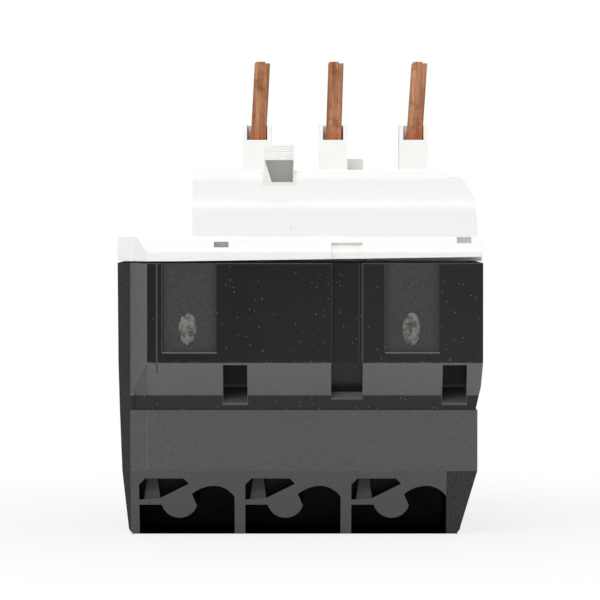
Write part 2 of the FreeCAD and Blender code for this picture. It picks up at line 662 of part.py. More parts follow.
def line_pin(number):
    """Flat pin folded from copper strip, bent a little over; a lead and a leg reach the heater."""
    body = new_body("line_pin_%d" % (number + 1))
    middle = pin_place(number)
    lean = ("lean_one", "lean_two", "lean_three")[number]
    half = "(pin_thick / 2)"
    fold = "(pin_thick / 2 - pin_fold)"
    tip = middle + " - " + lean
    blade = [
        (middle + " - " + half, "pin_root"),
        (middle + " + " + half, "pin_root"),
        (middle + " + " + half, "pin_bend"),
        (tip + " + " + half, "pin_tip - pin_nick"),
        (tip + " + " + half + " - pin_nick", "pin_tip"),
        (tip + " - " + fold, "pin_tip"),
        (tip + " - " + fold, "pin_tip - pin_nick"),
        (tip + " - " + half, "pin_tip - pin_nick"),
        (middle + " - " + half, "pin_bend"),
    ]
    add(body, "face", [blade], "pin_y - pin_wide / 2", "pin_y + pin_wide / 2")
    # the seam between the two layers of the fold, on both edges of the strip
    low_seam = middle + " - " + fold
    high_seam = tip + " - " + fold
    seam = [
        (low_seam + " - seam_half", "pin_bend"),
        (low_seam + " + seam_half", "pin_bend"),
        (high_seam + " + seam_half", "pin_tip - pin_nick"),
        (high_seam + " - seam_half", "pin_tip - pin_nick"),
    ]
    cut(body, "face", [seam], "pin_y + pin_wide / 2 - seam_deep", "pin_y + pin_wide / 2 + 1")
    cut(body, "face", [seam], "pin_y - pin_wide / 2 - 1", "pin_y - pin_wide / 2 + seam_deep")
    lead = box(middle + " - lead_half", "lead_front", pole(number) + " + lead_half", "lead_rear")
    add(body, "plan", [lead], "lead_low", "pin_root + 0.1")
    leg = box(pole(number) + " - leg_half", "lead_front", pole(number) + " + leg_half",
              "lead_front + leg_thick")
    add(body, "plan", [leg], "leg_low", "lead_low + 0.1")
    return body


def bimetal_strip(number):
    """Thermal bimetal standing on the load bar, its free end in the slots of the sliders."""
    body = new_body("bimetal_strip_%d" % (number + 1))
    middle = pole(number)
    strip = box(middle + " - bimetal_thick / 2", "bimetal_y - bimetal_half",
                middle + " + bimetal_thick / 2", "bimetal_y + bimetal_half")
    add(body, "plan", [strip], "foot_top", "bimetal_top")
    taper = [
        ("bimetal_y + bimetal_half + 1", "bimetal_top + 1"),
        ("bimetal_y + bimetal_half - 1", "bimetal_top + 1"),
        ("bimetal_y + bimetal_half - 1", "bimetal_top"),
        ("bimetal_y + bimetal_half", "bimetal_top - 4"),
        ("bimetal_y + bimetal_half + 1", "bimetal_top - 4"),
    ]
    cut(body, "side", [taper], middle + " - bimetal_thick", middle + " + bimetal_thick")
    return body


def heater_coil(number):
    """Heater tape wound square round the bimetal, from its foot on the load bar to the pin's leg."""
    side = amount("coil_side")
    deep = amount("coil_deep")
    rise = amount("coil_pitch") / 4
    low = amount("coil_low")
    half = amount("coil_tape") / 2
    corners = [(side, -deep), (side, deep), (-side, deep), (-side, -deep)]
    path = [FreeCAD.Vector(0, -deep, amount("foot_top")), FreeCAD.Vector(0, -deep, low)]
    for step in range(4 * int(amount("coil_turns"))):
        across, back = corners[step % 4]
        path.append(FreeCAD.Vector(across, back, low + rise * (step + 1)))
    top = path[-1].z + rise
    path.append(FreeCAD.Vector(0, -deep, top))
    path.append(FreeCAD.Vector(0, -deep, top + half * 3))
    path.append(FreeCAD.Vector(0, amount("lead_front + leg_thick - bimetal_y"), top + half * 3))
    foot = path[0]
    section = [foot + FreeCAD.Vector(across, back, 0) for across, back in
               ((-half, -half), (half, -half), (half, half), (-half, half), (-half, -half))]
    winding = Part.makePolygon(path).makePipeShell([Part.makePolygon(section)], True, False, 1)
    coil = doc.addObject("Part::Feature", "heater_coil_%d" % (number + 1))
    coil.Label = "heater_coil_%d" % (number + 1)
    coil.Shape = winding
    place(coil, pole(number), "bimetal_y", "0", FreeCAD.Rotation())
    pieces.append(coil)
    return coil


def load_bar(number):
    """Bent bar from the bimetal's foot to the box clamp."""
    body = new_body("load_bar_%d" % (number + 1))
    bend = [
        ("bar_front", "bar_low"),
        ("bar_front + bar_thick", "bar_low"),
        ("bar_front + bar_thick", "cavity_floor"),
        ("bar_rear", "cavity_floor"),
        ("bar_rear", "foot_top"),
        ("bar_front + bar_thick", "foot_top"),
        ("bar_front", "foot_top - bar_thick", "bar_thick", "left"),
    ]
    add(body, "side", [bend], pole(number) + " - bar_half", pole(number) + " + bar_half")
    return body


def load_screw(number):
    """Terminal screw, turning in place with its end on the bar; slotted pan head in the tunnel."""
    body = new_body("load_screw_%d" % (number + 1))
    long = "bar_front - screw_gap - load_head_back"
    profile = [
        ("0", "0"),
        ("load_shank", "0"),
        ("load_shank", long),
        ("load_head", long),
        ("load_head", long + " + load_head_high"),
        ("0", long + " + load_head_high"),
    ]
    turn_profile(body, profile)
    slot = box("-load_head - 1", "-load_slot / 2", "load_head + 1", "load_slot / 2")
    cut(body, "plan", [slot], long + " + load_head_high - load_slot_deep", long + " + load_head_high + 1")
    place(body, pole(number), "bar_front - screw_gap", "load_axis", FACING_FRONT)
    return body


def load_clamp(number):
    """Box clamp: a loop round bar and wire, threaded on the screw, ribbed where it grips the wire."""
    body = new_body("load_clamp_%d" % (number + 1))
    middle = pole(number)
    outer = box(middle + " - clamp_half", "clamp_front", middle + " + clamp_half", "clamp_rear")
    inner = box(middle + " - clamp_half + clamp_wall", "clamp_front + clamp_nut",
                middle + " + clamp_half - clamp_wall", "clamp_rear - clamp_nut")
    add(body, "plan", [outer, inner], "clamp_low", "clamp_high")
    hole = disc(middle, "load_axis", "load_shank + fit_gap")
    cut(body, "face", [hole], "clamp_front - 1", "clamp_front + clamp_nut + 0.5")
    dress(body, "Chamfer", "0.7", lambda spot, way: near(abs(way.z), 1) and (
        near(spot.y, amount("clamp_rear")) or near(spot.y, amount("clamp_front"))))
    ribs = []
    for level in range(3):
        height = "clamp_low + 1.6 + %s" % (level * 1.6)
        ribs.append([
            ("clamp_rear - clamp_nut + 0.1", height),
            ("clamp_rear - clamp_nut + 0.1", height + " + 0.8"),
            ("clamp_rear - clamp_nut - 0.3", height + " + 0.4"),
        ])
    add(body, "side", ribs, middle + " - clamp_half + clamp_wall", middle + " + clamp_half - clamp_wall")
    return body


# ---------------------------------------------------------------- control terminals and contacts

def control_bar(number):
    """Terminal plate at the back of the bay, with a hole for the screw and a tail into the mechanism."""
    body = new_body("control_bar_%d" % (number + 1))
    middle = control(number)
    plate = box(middle + " - control_bar_half", "control_bar_low", middle + " + control_bar_half",
                "control_bar_top")
    add(body, "face", [plate], "control_back - control_bar_thick", "control_back")
    tail = box(middle + " - tail_half", "tail_low", middle + " + tail_half", "control_bar_top")
    add(body, "face", [tail], "control_back - 0.1", "tail_end")
    hole = disc(middle, "control_axis", "control_shank + fit_gap")
    cut(body, "face", [hole], "control_back - control_bar_thick - 1", "control_back + 1")
    return body


def control_screw(number):
    """Terminal screw with a cross-slotted head; it carries its pressure plate in and out."""
    body = new_body("control_screw_%d" % (number + 1))
    profile = [
        ("0", "-control_shank_long"),
        ("control_shank", "-control_shank_long"),
        ("control_shank", "0"),
        ("control_head", "0"),
        ("control_head", "control_head_high"),
        ("0", "control_head_high"),
    ]
    turn_profile(body, profile)
    slots = [
        box("-control_head - 1", "-load_slot / 2", "control_head + 1", "load_slot / 2"),
        box("-load_slot / 2", "-control_head * 0.6", "load_slot / 2", "control_head * 0.6"),
    ]
    for slot in slots:
        cut(body, "plan", [slot], "control_head_high - 1.0", "control_head_high + 1")
    face = "control_back - control_bar_thick - plate_gap - plate_thick - screw_gap"
    place(body, control(number), face, "control_axis", FACING_FRONT)
    return body


def control_clamp(number):
    """Square pressure plate under the screw head, its two sides bent to hold the wire."""
    body = new_body("control_clamp_%d" % (number + 1))
    middle = control(number)
    rear = "control_back - control_bar_thick - plate_gap"
    plate = box(middle + " - plate_half", "control_axis - plate_half", middle + " + plate_half",
                "control_axis + plate_half")
    add(body, "face", [plate], rear + " - plate_thick", rear)
    for side in ("-", "+"):
        edge = middle + side + "plate_half"
        ends = [edge, "(%s) %s 0.5" % (edge, "+" if side == "-" else "-")]
        if side == "+":
            ends.reverse()
        lip = box(ends[0], "control_axis - plate_half", ends[1], "control_axis + plate_half")
        add(body, "face", [lip], rear + " - 0.1", rear + " + 0.3")
    hole = disc(middle, "control_axis", "control_shank + fit_gap")
    cut(body, "face", [hole], rear + " - plate_thick - 1", rear + " + 1")
    return body


def fixed_contact(label, number, way):
    """Fixed contact: an arm standing on a control bar's tail, with a contact button."""
    body = new_body(label)
    middle = control(number)
    arm = box(middle + " - 0.9", "control_bar_top", middle + " + 0.9", "trip_z + 1.6")
    add(body, "face", [arm], "tail_end - 1.2", "tail_end - 0.6")
    button = disc(middle, "trip_z", "button_round")
    if way > 0:
        add(body, "face", [button], "tail_end - 0.7", "tail_end - 0.6 + button_high")
    else:
        add(body, "face", [button], "tail_end - 1.2 - button_high", "tail_end - 1.1")
    return body


# ---------------------------------------------------------------- trip mechanism

def slider(label, low, reach):
    """Slotted plate over the bimetal tips; the lower one has a finger that works the levers."""
    body = new_body(label)
    outline = box("slider_left", "slider_front", "slider_right", "slider_rear")
    if reach:
        outline = [
            ("slider_left", "slider_front"),
            ("finger_left", "slider_front"),
            ("finger_left", "finger_front"),
            ("slider_right", "finger_front"),
            ("slider_right", "slider_rear"),
            ("slider_left", "slider_rear"),
        ]
    slots = [
        box(pole(n) + " - slot_near", "bimetal_y - slot_half_y", pole(n) + " + slot_far",
            "bimetal_y + slot_half_y")
        for n in range(3)
    ]
    add(body, "plan", [outline] + slots, low, low + " + slider_thick")
    return body


def hub_and_arms(body, centre, arms, low, high):
    """Lever seen in plan: a round hub and straight arms, bored for its pivot."""
    add(body, "plan", [disc(centre[0], centre[1], "comp_hub")], low, high)
    for arm in arms:
        add(body, "plan", [arm], low, high)
    cut(body, "plan", [disc(centre[0], centre[1], "pivot + fit_gap")], low + " - 1", high + " + 1")


def compensation_lever():
    """Upright lever between the slider's finger and the trip lever, a temperature-compensating strip."""
    body = new_body("compensation_lever")
    rear_arm = box("comp_x - arm_thick / 2", "comp_y + 1", "comp_x + arm_thick / 2", "comp_rear")
    front_arm = box("comp_x - arm_thick / 2", "comp_front", "comp_x + arm_thick / 2", "comp_y - 1")
    hub_and_arms(body, ("comp_x", "comp_y"), [rear_arm, front_arm], "comp_low", "slider_low + slider_thick")
    return body


def lever_pivots():
    """Steel pins in the floor and wall of the base that carry the two levers."""
    body = new_body("lever_pivots")
    pin = disc("comp_x", "comp_y", "pivot")
    add(body, "plan", [pin], "cavity_floor", "slider_low + slider_thick + 0.8")
    return body


def trip_lever():
    """Rocker that carries the two moving contact blades; it turns on a pin along Y."""
    body = new_body("trip_lever")
    arm = [
        ("trip_x - trip_arm", "trip_z + 3.6"),
        ("trip_x - trip_arm", "trip_z + 2.2"),
        ("trip_x - 2", "trip_z - 0.8"),
        ("trip_x + 2", "trip_z - 0.8"),
        ("trip_x + trip_arm", "trip_z + 2.2"),
        ("trip_x + trip_arm", "trip_z + 3.6"),
        ("trip_x", "trip_z + 2.0"),
    ]
    add(body, "face", [disc("trip_x", "trip_z", "trip_hub")], "trip_rear - 3", "trip_rear")
    add(body, "face", [arm], "trip_rear - 2.4", "trip_rear - 0.6")
    cut(body, "face", [disc("trip_x", "trip_z", "pivot + fit_gap")], "trip_rear - 4", "trip_rear + 1")
    return body


def trip_post():
    """Bracket on the base's floor with the trip lever's pin."""
    body = new_body("trip_post")
    add(body, "face", [box("trip_x - 2.6", "cavity_floor", "trip_x + 2.6", "trip_z + 1.8")],
        "trip_rear + 0.4", "trip_rear + 2")
    add(body, "face", [disc("trip_x", "trip_z", "pivot")], "trip_rear - 3.6", "trip_rear + 1")
    return body


def moving_contact(label, side):
    """Contact blade riveted to the end of the trip lever."""
    body = new_body(label)
    edge = "trip_x %s trip_arm" % side
    ends = [edge, "%s %s blade_thick" % (edge, side)]
    if side == "-":
        ends.reverse()
    blade = box(ends[0], "trip_z + 0.6", ends[1], "trip_z + 4.4")
    add(body, "face", [blade], "trip_rear - 3.0", "trip_rear")
    spot = box("%s %s 0.1" % (edge, side) if side == "+" else edge + " - blade_thick - 0.6", "trip_z + 0.9",
               edge + " + blade_thick + 0.6" if side == "+" else edge + " - 0.1", "trip_z + 2.1")
    add(body, "face", [spot], "trip_rear - 2.1", "trip_rear - 0.9")
    return body


# ---------------------------------------------------------------- front

def front_panel():
    """White fascia with the openings for dial, buttons and flag, and lugs for the cover."""
    body = new_body("front_panel")
    face = [
        ("-half_wide", "panel_low"),
        ("half_wide", "panel_low"),
        ("half_wide", "ledge_top"),
        ("step_x", "ledge_top"),
        ("step_x", "top"),
        ("end_x", "top"),
        ("end_x", "end_low"),
        ("end_slope_x", "end_low"),
        ("end_x_out", "end_z_out"),
        ("end_x_out - 0.3", "ledge_top"),
        ("-half_wide", "ledge_top"),
    ]
    holes = [
        disc("dial_x", "dial_z", "dial_hole"),
        disc("button_x", "reset_z", "collar_hole"),
        disc("button_x", "stop_z", "stop_round + button_gap"),
        box("flag_x - flag_half_x", "flag_z - flag_half_z", "flag_x + flag_half_x", "flag_z + flag_half_z"),
    ]
    add(body, "face", [face] + holes, "panel_front", "front_case")
    rim = [
        disc("button_x", "stop_z", "stop_round + button_gap + 1.2"),
        disc("button_x", "stop_z", "stop_round + button_gap"),
    ]
    add(body, "face", rim, "panel_front - 0.6", "panel_front + 0.1")
    lugs = [
        ("cover_low - cover_lug - button_gap", "cover_low - button_gap"),
        ("cover_high + button_gap", "cover_high + cover_lug + button_gap"),
    ]
    for low, high in lugs:
        shape = [
            ("cover_axis_x - cover_barrel", "panel_front + 0.1"),
            ("cover_axis_x - cover_barrel", "cover_axis_y"),
            ("cover_axis_x + cover_barrel", "cover_axis_y", "cover_barrel", "left"),
            ("cover_axis_x + cover_barrel", "panel_front + 0.1"),
        ]
        add(body, "plan", [shape], low, high)
    pins = disc("cover_axis_x", "cover_axis_y", "cover_pin")
    add(body, "plan", [pins], "cover_low - button_gap - 0.1", "cover_low + 2")
    add(body, "plan", [pins], "cover_high - 2", "cover_high + button_gap + 0.1")
    return body


def transparent_cover():
    """Clear lid over dial and flag, with a knuckle at each end and a lip to open it by."""
    body = new_body("transparent_cover")
    plate = box("cover_axis_x + 0.6", "cover_front", "cover_right", "cover_front + cover_skin")
    add(body, "plan", [plate], "cover_low", "cover_high")
    window = box("cover_axis_x + 2.4", "cover_front + cover_skin - 0.3", "cover_right - 1.4",
                 "cover_front + cover_skin + 0.1")
    cut(body, "plan", [window], "cover_low + 1.6", "cover_high - 1.6")
    add(body, "plan", [disc("cover_axis_x", "cover_axis_y", "cover_barrel")], "cover_low", "cover_high")
    lip = box("cover_right - 0.6", "cover_front + 0.2", "cover_right + cover_lip", "cover_front + cover_skin")
    add(body, "plan", [lip], "(cover_low + cover_high) / 2 - 3", "(cover_low + cover_high) / 2 + 3")
    cut(body, "plan", [disc("cover_axis_x", "cover_axis_y", "cover_pin + fit_gap")],
        "cover_low - 1", "cover_high + 1")
    return body


def current_dial():
    """Setting dial: slotted knob, square retaining flange, shaft and an eccentric cam at its end."""
    body = new_body("current_dial")
    half = "(dial_rim * 0.7)"
    add(body, "face", [disc("dial_x", "dial_z", "dial_round")], "dial_face", "front_case + button_gap")
    flange = box("dial_x - " + half, "dial_z - " + half, "dial_x + " + half, "dial_z + " + half)
    add(body, "face", [flange], "front_case + button_gap", "front_case + button_gap + 1.2")
    add(body, "face", [disc("dial_x", "dial_z", "dial_shaft")], "front_case + 1", "dial_back")
    add(body, "face", [disc("dial_x + cam_offset", "dial_z", "cam_round")], "cam_front", "cam_rear")
    slot = box("dial_x - dial_round * 0.62", "dial_z - dial_slot / 2", "dial_x + dial_round * 0.62",
               "dial_z + dial_slot / 2")
    cut(body, "face", [slot], "dial_face - 1", "dial_face + dial_slot_deep")
    arrow = [
        ("dial_x - 0.9", "dial_z + dial_round - 1.9"),
        ("dial_x + 0.9", "dial_z + dial_round - 1.9"),
        ("dial_x", "dial_z + dial_round - 0.5"),
    ]
    cut(body, "face", [arrow], "dial_face - 1", "dial_face + 0.4")
    return body


def adjust_lever():
    """Lever that rests on the dial's cam and moves the pivot of the tripping point."""
    body = new_body("adjust_lever")
    reach = "dial_x + cam_offset + cam_round + 0.15"
    add(body, "face", [disc("adjust_x", "adjust_z", "adjust_hub")], "cam_front", "cam_rear")
    arm = [
        (reach, "adjust_z - 0.9"),
        ("adjust_x", "adjust_z - 1.2"),
        ("adjust_x", "adjust_z + 1.2"),
        (reach, "adjust_z + 0.9"),
    ]
    add(body, "face", [arm], "cam_front", "cam_rear")
    tail = box("adjust_x - 0.7", "adjust_z - 5.2", "adjust_x + 0.7", "adjust_z")
    add(body, "face", [tail], "cam_front", "cam_rear")
    cut(body, "face", [disc("adjust_x", "adjust_z", "pivot + fit_gap")], "cam_front - 1", "cam_rear + 1")
    return body


def adjust_pivot():
    """Pin of the adjusting lever, fixed in the back wall of the upper housing's front room."""
    body = new_body("adjust_pivot")
    add(body, "face", [disc("adjust_x", "adjust_z", "pivot")], "cam_front - 0.6", "skirt_front - skin")
    return body


def push_button(label, up, radius, seat):
    """Round button with a bevelled edge, a square flange that it stops on at the depth seat, and a stem."""
    body = new_body(label)
    out = "front_case - button_out"
    profile = [
        ("0", "-(button_back - front_case)"),
        ("1.4", "-(button_back - front_case)"),
        ("1.4", "-(%s)" % seat),
        (radius, "-(%s)" % seat),
        (radius, out + " - 0.5"),
        (radius + " - 0.5", out),
        ("0", out),
    ]
    turn_profile(body, profile)
    half = "((%s + button_flange) * 0.7)" % radius
    add(body, "plan", [box("-" + half, "-" + half, half, half)], "-(%s) - 1" % seat, "-(%s)" % seat)
    place(body, "button_x", "front_case", up, FACING_FRONT)
    return body


def reset_selector():
    """Collar round the reset button, with a screwdriver notch, retained by a square flange."""
    body = new_body("reset_selector")
    out = "front_case - collar_out"
    profile = [
        ("reset_round + button_gap", "-button_gap"),
        ("reset_round + button_gap", out),
        ("collar_round", out),
        ("collar_round", "-button_gap"),
    ]
    turn_profile(body, profile)
    half = "((collar_round + collar_flange) * 0.7)"
    flange = [box("-" + half, "-" + half, half, half), disc("0", "0", "reset_round + button_gap")]
    add(body, "plan", flange, "-button_gap - collar_flange", "-button_gap")
    mark = box("-0.4", "collar_round - 1.0", "0.4", "collar_round + 1")
    cut(body, "plan", [mark], out + " - 0.8", out + " + 1")
    place(body, "button_x", "front_case", "reset_z", FACING_FRONT)
    return body


def trip_flag():
    """Small flag that slides up behind its window, worked by the trip lever."""
    body = new_body("trip_flag")
    face = box("flag_x - flag_half_x - flag_edge", "flag_z - flag_half_z - flag_travel - flag_edge",
               "flag_x + flag_half_x + flag_edge", "flag_z + flag_half_z + flag_edge")
    add(body, "face", [face], "front_case + button_gap", "front_case + button_gap + 1.2")
    return body


# ---------------------------------------------------------------- build and export

def build_all():
    """Every piece of the relay, in the order in which it would be put together."""
    base_housing()
    side_shell()
    upper_housing()
    front_panel()
    for number in range(3):
        line_pin(number)
        bimetal_strip(number)
        heater_coil(number)
        load_bar(number)
        load_screw(number)
        load_clamp(number)
    for number in range(4):
        control_bar(number)
        control_screw(number)
        control_clamp(number)
    fixed_contact("nc_fixed_contact", 0, 1)
    fixed_contact("no_fixed_contact", 3, -1)
    slider("push_slider", "slider_low", True)
    slider("differential_slider", "slider_low + slider_thick + slider_gap", False)
    compensation_lever()
    lever_pivots()
    trip_lever()
    trip_post()
    moving_contact("nc_moving_contact", "+")
    moving_contact("no_moving_contact", "-")
    transparent_cover()
    current_dial()
    adjust_lever()
    adjust_pivot()
    push_button("stop_button", "stop_z", "stop_round", "button_gap")
    reset_selector()
    push_button("reset_button", "reset_z", "reset_round", "button_gap * 2 + collar_flange")
    trip_flag()


def check_and_write():
    """Refuse anything that failed, then write one file for each piece."""
    doc.recompute()
    for item in doc.Objects:
        if "Invalid" in item.State or "Error" in item.State:
            raise RuntimeError("%s is in error" % item.Label)
    os.makedirs("parts", exist_ok=True)
    for piece in pieces:
        shape = piece.Shape
        if shape.isNull() or not shape.isValid() or len(shape.Solids) < 1:
            raise RuntimeError("%s has no valid solid" % piece.Label)
        shape.exportStep("parts/%s.step" % piece.Label)
        print(piece.Label, len(shape.Solids), "solid(s)", round(shape.Volume, 1), "mm3")


fill_sheet()
build_all()
check_and_write()
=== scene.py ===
# %% [markdown]
# # A thermal overload relay, dressed for its portrait
# The relay plugs under a motor contactor. This view shows its back: a black base with three load
# chambers, a white upper housing, and three copper pins that reach up into the contactor. The
# solids come from CAD as a fixed frame. Blender adds the finishes, the small marks that moulding
# leaves, the light and the camera. Lengths are in metres, and MM turns millimetres into them.

# %% Load the frame
import json

import bmesh
import bpy
import numpy as np
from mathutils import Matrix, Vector

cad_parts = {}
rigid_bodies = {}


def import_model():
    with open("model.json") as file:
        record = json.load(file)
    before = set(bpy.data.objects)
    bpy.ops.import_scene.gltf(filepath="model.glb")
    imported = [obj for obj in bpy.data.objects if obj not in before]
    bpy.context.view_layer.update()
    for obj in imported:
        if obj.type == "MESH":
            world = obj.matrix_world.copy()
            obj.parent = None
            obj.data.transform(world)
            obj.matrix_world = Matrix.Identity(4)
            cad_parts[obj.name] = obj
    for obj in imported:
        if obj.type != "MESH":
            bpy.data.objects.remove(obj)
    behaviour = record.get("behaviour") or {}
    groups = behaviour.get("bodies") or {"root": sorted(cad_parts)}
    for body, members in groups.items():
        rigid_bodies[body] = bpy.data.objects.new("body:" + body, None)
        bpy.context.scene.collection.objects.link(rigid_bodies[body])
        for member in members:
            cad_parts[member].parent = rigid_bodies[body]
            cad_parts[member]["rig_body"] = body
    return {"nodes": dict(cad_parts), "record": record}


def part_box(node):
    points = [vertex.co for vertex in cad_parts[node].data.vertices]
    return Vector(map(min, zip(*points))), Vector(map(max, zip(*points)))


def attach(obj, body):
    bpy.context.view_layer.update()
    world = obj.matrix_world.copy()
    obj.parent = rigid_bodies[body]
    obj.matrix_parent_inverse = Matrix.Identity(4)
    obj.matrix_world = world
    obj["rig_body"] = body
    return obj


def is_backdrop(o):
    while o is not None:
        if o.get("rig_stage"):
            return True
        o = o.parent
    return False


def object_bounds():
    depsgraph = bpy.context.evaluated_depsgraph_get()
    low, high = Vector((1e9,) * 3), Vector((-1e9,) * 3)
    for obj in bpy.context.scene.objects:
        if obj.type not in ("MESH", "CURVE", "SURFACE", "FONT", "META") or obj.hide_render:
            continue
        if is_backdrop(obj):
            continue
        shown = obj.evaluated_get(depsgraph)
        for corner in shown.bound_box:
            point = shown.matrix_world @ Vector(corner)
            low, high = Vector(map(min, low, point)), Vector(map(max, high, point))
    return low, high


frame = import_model()
cad_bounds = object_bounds()
MM = 0.001
nodes = frame["nodes"]
low, high = (np.array(corner) for corner in cad_bounds)
print("nodes", len(nodes), "size in mm", np.round((high - low) / MM, 1))

# %% [markdown]
# ## Landmarks
# Marks and pieces are placed from the boxes of the CAD nodes, so they follow the CAD if it
# changes. The rear wall is the highest Y of the base, and the top of the white housing is the top
# of its pin sockets.

# %% Landmarks
base_low, base_high = (np.array(corner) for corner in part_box("base_housing"))
rear = base_high[1]
sockets_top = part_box("upper_housing")[1][2]


def middle_of(name):
    """Centre of a node's box."""
    corners = [np.array(corner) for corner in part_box(name)]
    return (corners[0] + corners[1]) / 2


print("rear wall at", round(rear / MM, 2), "mm, sockets up to", round(sockets_top / MM, 2), "mm")

# %% [markdown]
# ## The camera
# The relay is seen square from behind, from a long way off, with a long lens. A long lens keeps
# the sides of the box almost parallel. The camera stands a little above the middle of the body
# and looks slightly down at it. At this distance the lens takes in 73 mm of the rear wall's
# plane.

# %% Camera
VIEW_DISTANCE = 0.600
SENSOR = 36.0
LENS = 294.48
AIM_HEIGHT = 28.97 * MM
target = Vector((0.0, rear, AIM_HEIGHT))
elevation = np.radians(1.0)
camera_data = bpy.data.cameras.new("rear_camera")
camera_data.sensor_width = SENSOR
camera_data.lens = LENS
camera = bpy.data.objects.new("rear_camera", camera_data)
bpy.context.collection.objects.link(camera)
camera.location = target + Vector((0, np.cos(elevation), np.sin(elevation))) * VIEW_DISTANCE
camera.rotation_euler = (target - camera.location).to_track_quat("-Z", "Y").to_euler()
bpy.context.scene.camera = camera
print("lens", round(camera_data.lens, 1), "mm")

# %% [markdown]
# ## Shader building blocks
# A finish is a tree of shader nodes. Two short helpers make the trees readable: one adds a node
# and fills or links its inputs by name, and the other does one step of arithmetic on sockets.

# %% Node helpers
def node(tree, kind, props=None, **inputs):
    """Adds a shader node, sets its properties, and links or fills the inputs that are named.
    An input called i0, i1 and so on is reached by its number."""
    made = tree.nodes.new("ShaderNode" + kind)
    for name, value in (props or {}).items():
        setattr(made, name, value)
    for name, value in inputs.items():
        by_number = name[0] == "i" and name[1:].isdigit()
        socket = made.inputs[int(name[1:]) if by_number else name.replace("_", " ")]
        if isinstance(value, bpy.types.NodeSocket):
            tree.links.new(value, socket)
        else:
            socket.default_value = value
    return made


def maths(tree, operation, first, second=0.5, third=None):
    """One Math node on sockets or numbers; gives its output socket."""
    inputs = {"i0": first, "i1": second}
    if third is not None:
        inputs["i2"] = third
    return node(tree, "Math", {"operation": operation}, **inputs).outputs[0]


def times(tree, first, *others):
    """Product of sockets or numbers."""
    for other in others:
        first = maths(tree, "MULTIPLY", first, other)
    return first


print("node helpers ready")

# %% [markdown]
# ## Studio
# Product pictures of this kind are taken in a white sweep under soft boxes. The floor and the
# backdrop look pure white to the camera, and to glass and metal that reflect them, but throw back
# only the light of a plain pale card on the part itself. The floor keeps a faint contact shadow.
# Under the part the floor is painted dark, a painted shade for the floor inside a closed foot.

# %% Floor, backdrop and world
def studio_white(name, shadow, reach, under):
    """Card that is white to the camera: emission of 1, less a share of the shade that falls on it.
    The share fades to nothing at the distance reach, and the card is painted dark as painted shade
    inside the rectangle under = (left, front, right, back)."""
    material = bpy.data.materials.new(name)
    material.use_nodes = True
    tree = material.node_tree
    tree.nodes.clear()
    card = node(tree, "BsdfDiffuse", Color=(0.8, 0.8, 0.8, 1))
    glow = node(tree, "Emission", Color=(1, 1, 1, 1), Strength=1.0)
    path = node(tree, "LightPath").outputs
    seen = maths(tree, "MAXIMUM", path["Is Camera Ray"], path["Is Glossy Ray"])
    seen = maths(tree, "MAXIMUM", seen, path["Is Transmission Ray"])
    spot = node(tree, "TexCoord").outputs["Object"]
    far = node(tree, "VectorMath", {"operation": "LENGTH"}, i0=spot).outputs["Value"]
    shade = node(tree, "MapRange", i0=far, i1=reach * 0.4, i2=reach, i3=shadow, i4=0.0).outputs[0]
    share = times(tree, seen, maths(tree, "SUBTRACT", 1.0, shade))
    open_floor = node(tree, "MixShader", Fac=share, i1=card.outputs[0], i2=glow.outputs[0])
    # painted shade: a dark card where the floor lies under the part
    dark = node(tree, "BsdfDiffuse", Color=(0.004, 0.004, 0.004, 1))
    across, deep = node(tree, "SeparateXYZ", Vector=spot).outputs[:2]
    left, front, right, back = under
    in_width = maths(tree, "COMPARE", across, (left + right) / 2, (right - left) / 2)
    in_depth = maths(tree, "COMPARE", deep, (front + back) / 2, (back - front) / 2)
    in_painted_shade = times(tree, in_width, in_depth)
    sheet = node(tree, "MixShader", Fac=in_painted_shade, i1=open_floor.outputs[0], i2=dark.outputs[0])
    node(tree, "OutputMaterial", Surface=sheet.outputs[0])
    return material


SWEEP = 3.0
SHADOW = 0.2
SHADOW_REACH = 0.12
floor_z = low[2] - 0.02 * MM
# rectangle under the part where the floor is painted dark as painted shade
painted_shade_patch = (low[0] + 2.9 * MM, -16 * MM, high[0] - 1.6 * MM, rear - 6.1 * MM)
floor_mesh = bpy.data.meshes.new("floor")
floor_mesh.from_pydata([(-SWEEP, -SWEEP, floor_z), (SWEEP, -SWEEP, floor_z),
                        (SWEEP, SWEEP, floor_z), (-SWEEP, SWEEP, floor_z)], [], [(0, 1, 2, 3)])
floor_mesh.materials.append(studio_white("floor_white", SHADOW, SHADOW_REACH, painted_shade_patch))
floor_sheet = bpy.data.objects.new("floor", floor_mesh)
bpy.context.collection.objects.link(floor_sheet)
floor_sheet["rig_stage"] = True

ROOM_LIGHT = 0.28
world = bpy.data.worlds.new("studio")
world.use_nodes = True
sky = world.node_tree
sky.nodes.clear()
rays = node(sky, "LightPath").outputs
dim = node(sky, "Background", Color=(1, 1, 1, 1), Strength=ROOM_LIGHT)
white = node(sky, "Background", Color=(1, 1, 1, 1), Strength=1.0)
shown = maths(sky, "MAXIMUM", rays["Is Camera Ray"], rays["Is Transmission Ray"])
room = node(sky, "MixShader", Fac=shown, i1=dim.outputs[0], i2=white.outputs[0])
node(sky, "OutputWorld", Surface=room.outputs[0])
bpy.context.scene.world = world
bpy.context.scene.view_settings.view_transform = "Standard"
print("floor at", round(floor_z / MM, 3), "mm")

# %% [markdown]
# ## Lamps
# Five soft boxes light the part: one overhead, three round the rear that the camera sees, and one
# in front for the other views. They are large and far off, so that shadows stay soft, and plain
# white and level, so that a colour renders about as it is written.

# %% Lamps
def soft_box(name, place, size, power):
    """Square area lamp at place, aimed at the middle of the relay."""
    data = bpy.data.lights.new(name, "AREA")
    data.size = size
    data.energy = power
    lamp = bpy.data.objects.new(name, data)
    bpy.context.collection.objects.link(lamp)
    lamp.location = place
    aim = Vector((0, 0, 30 * MM))
    lamp.rotation_euler = (aim - lamp.location).to_track_quat("-Z", "Y").to_euler()


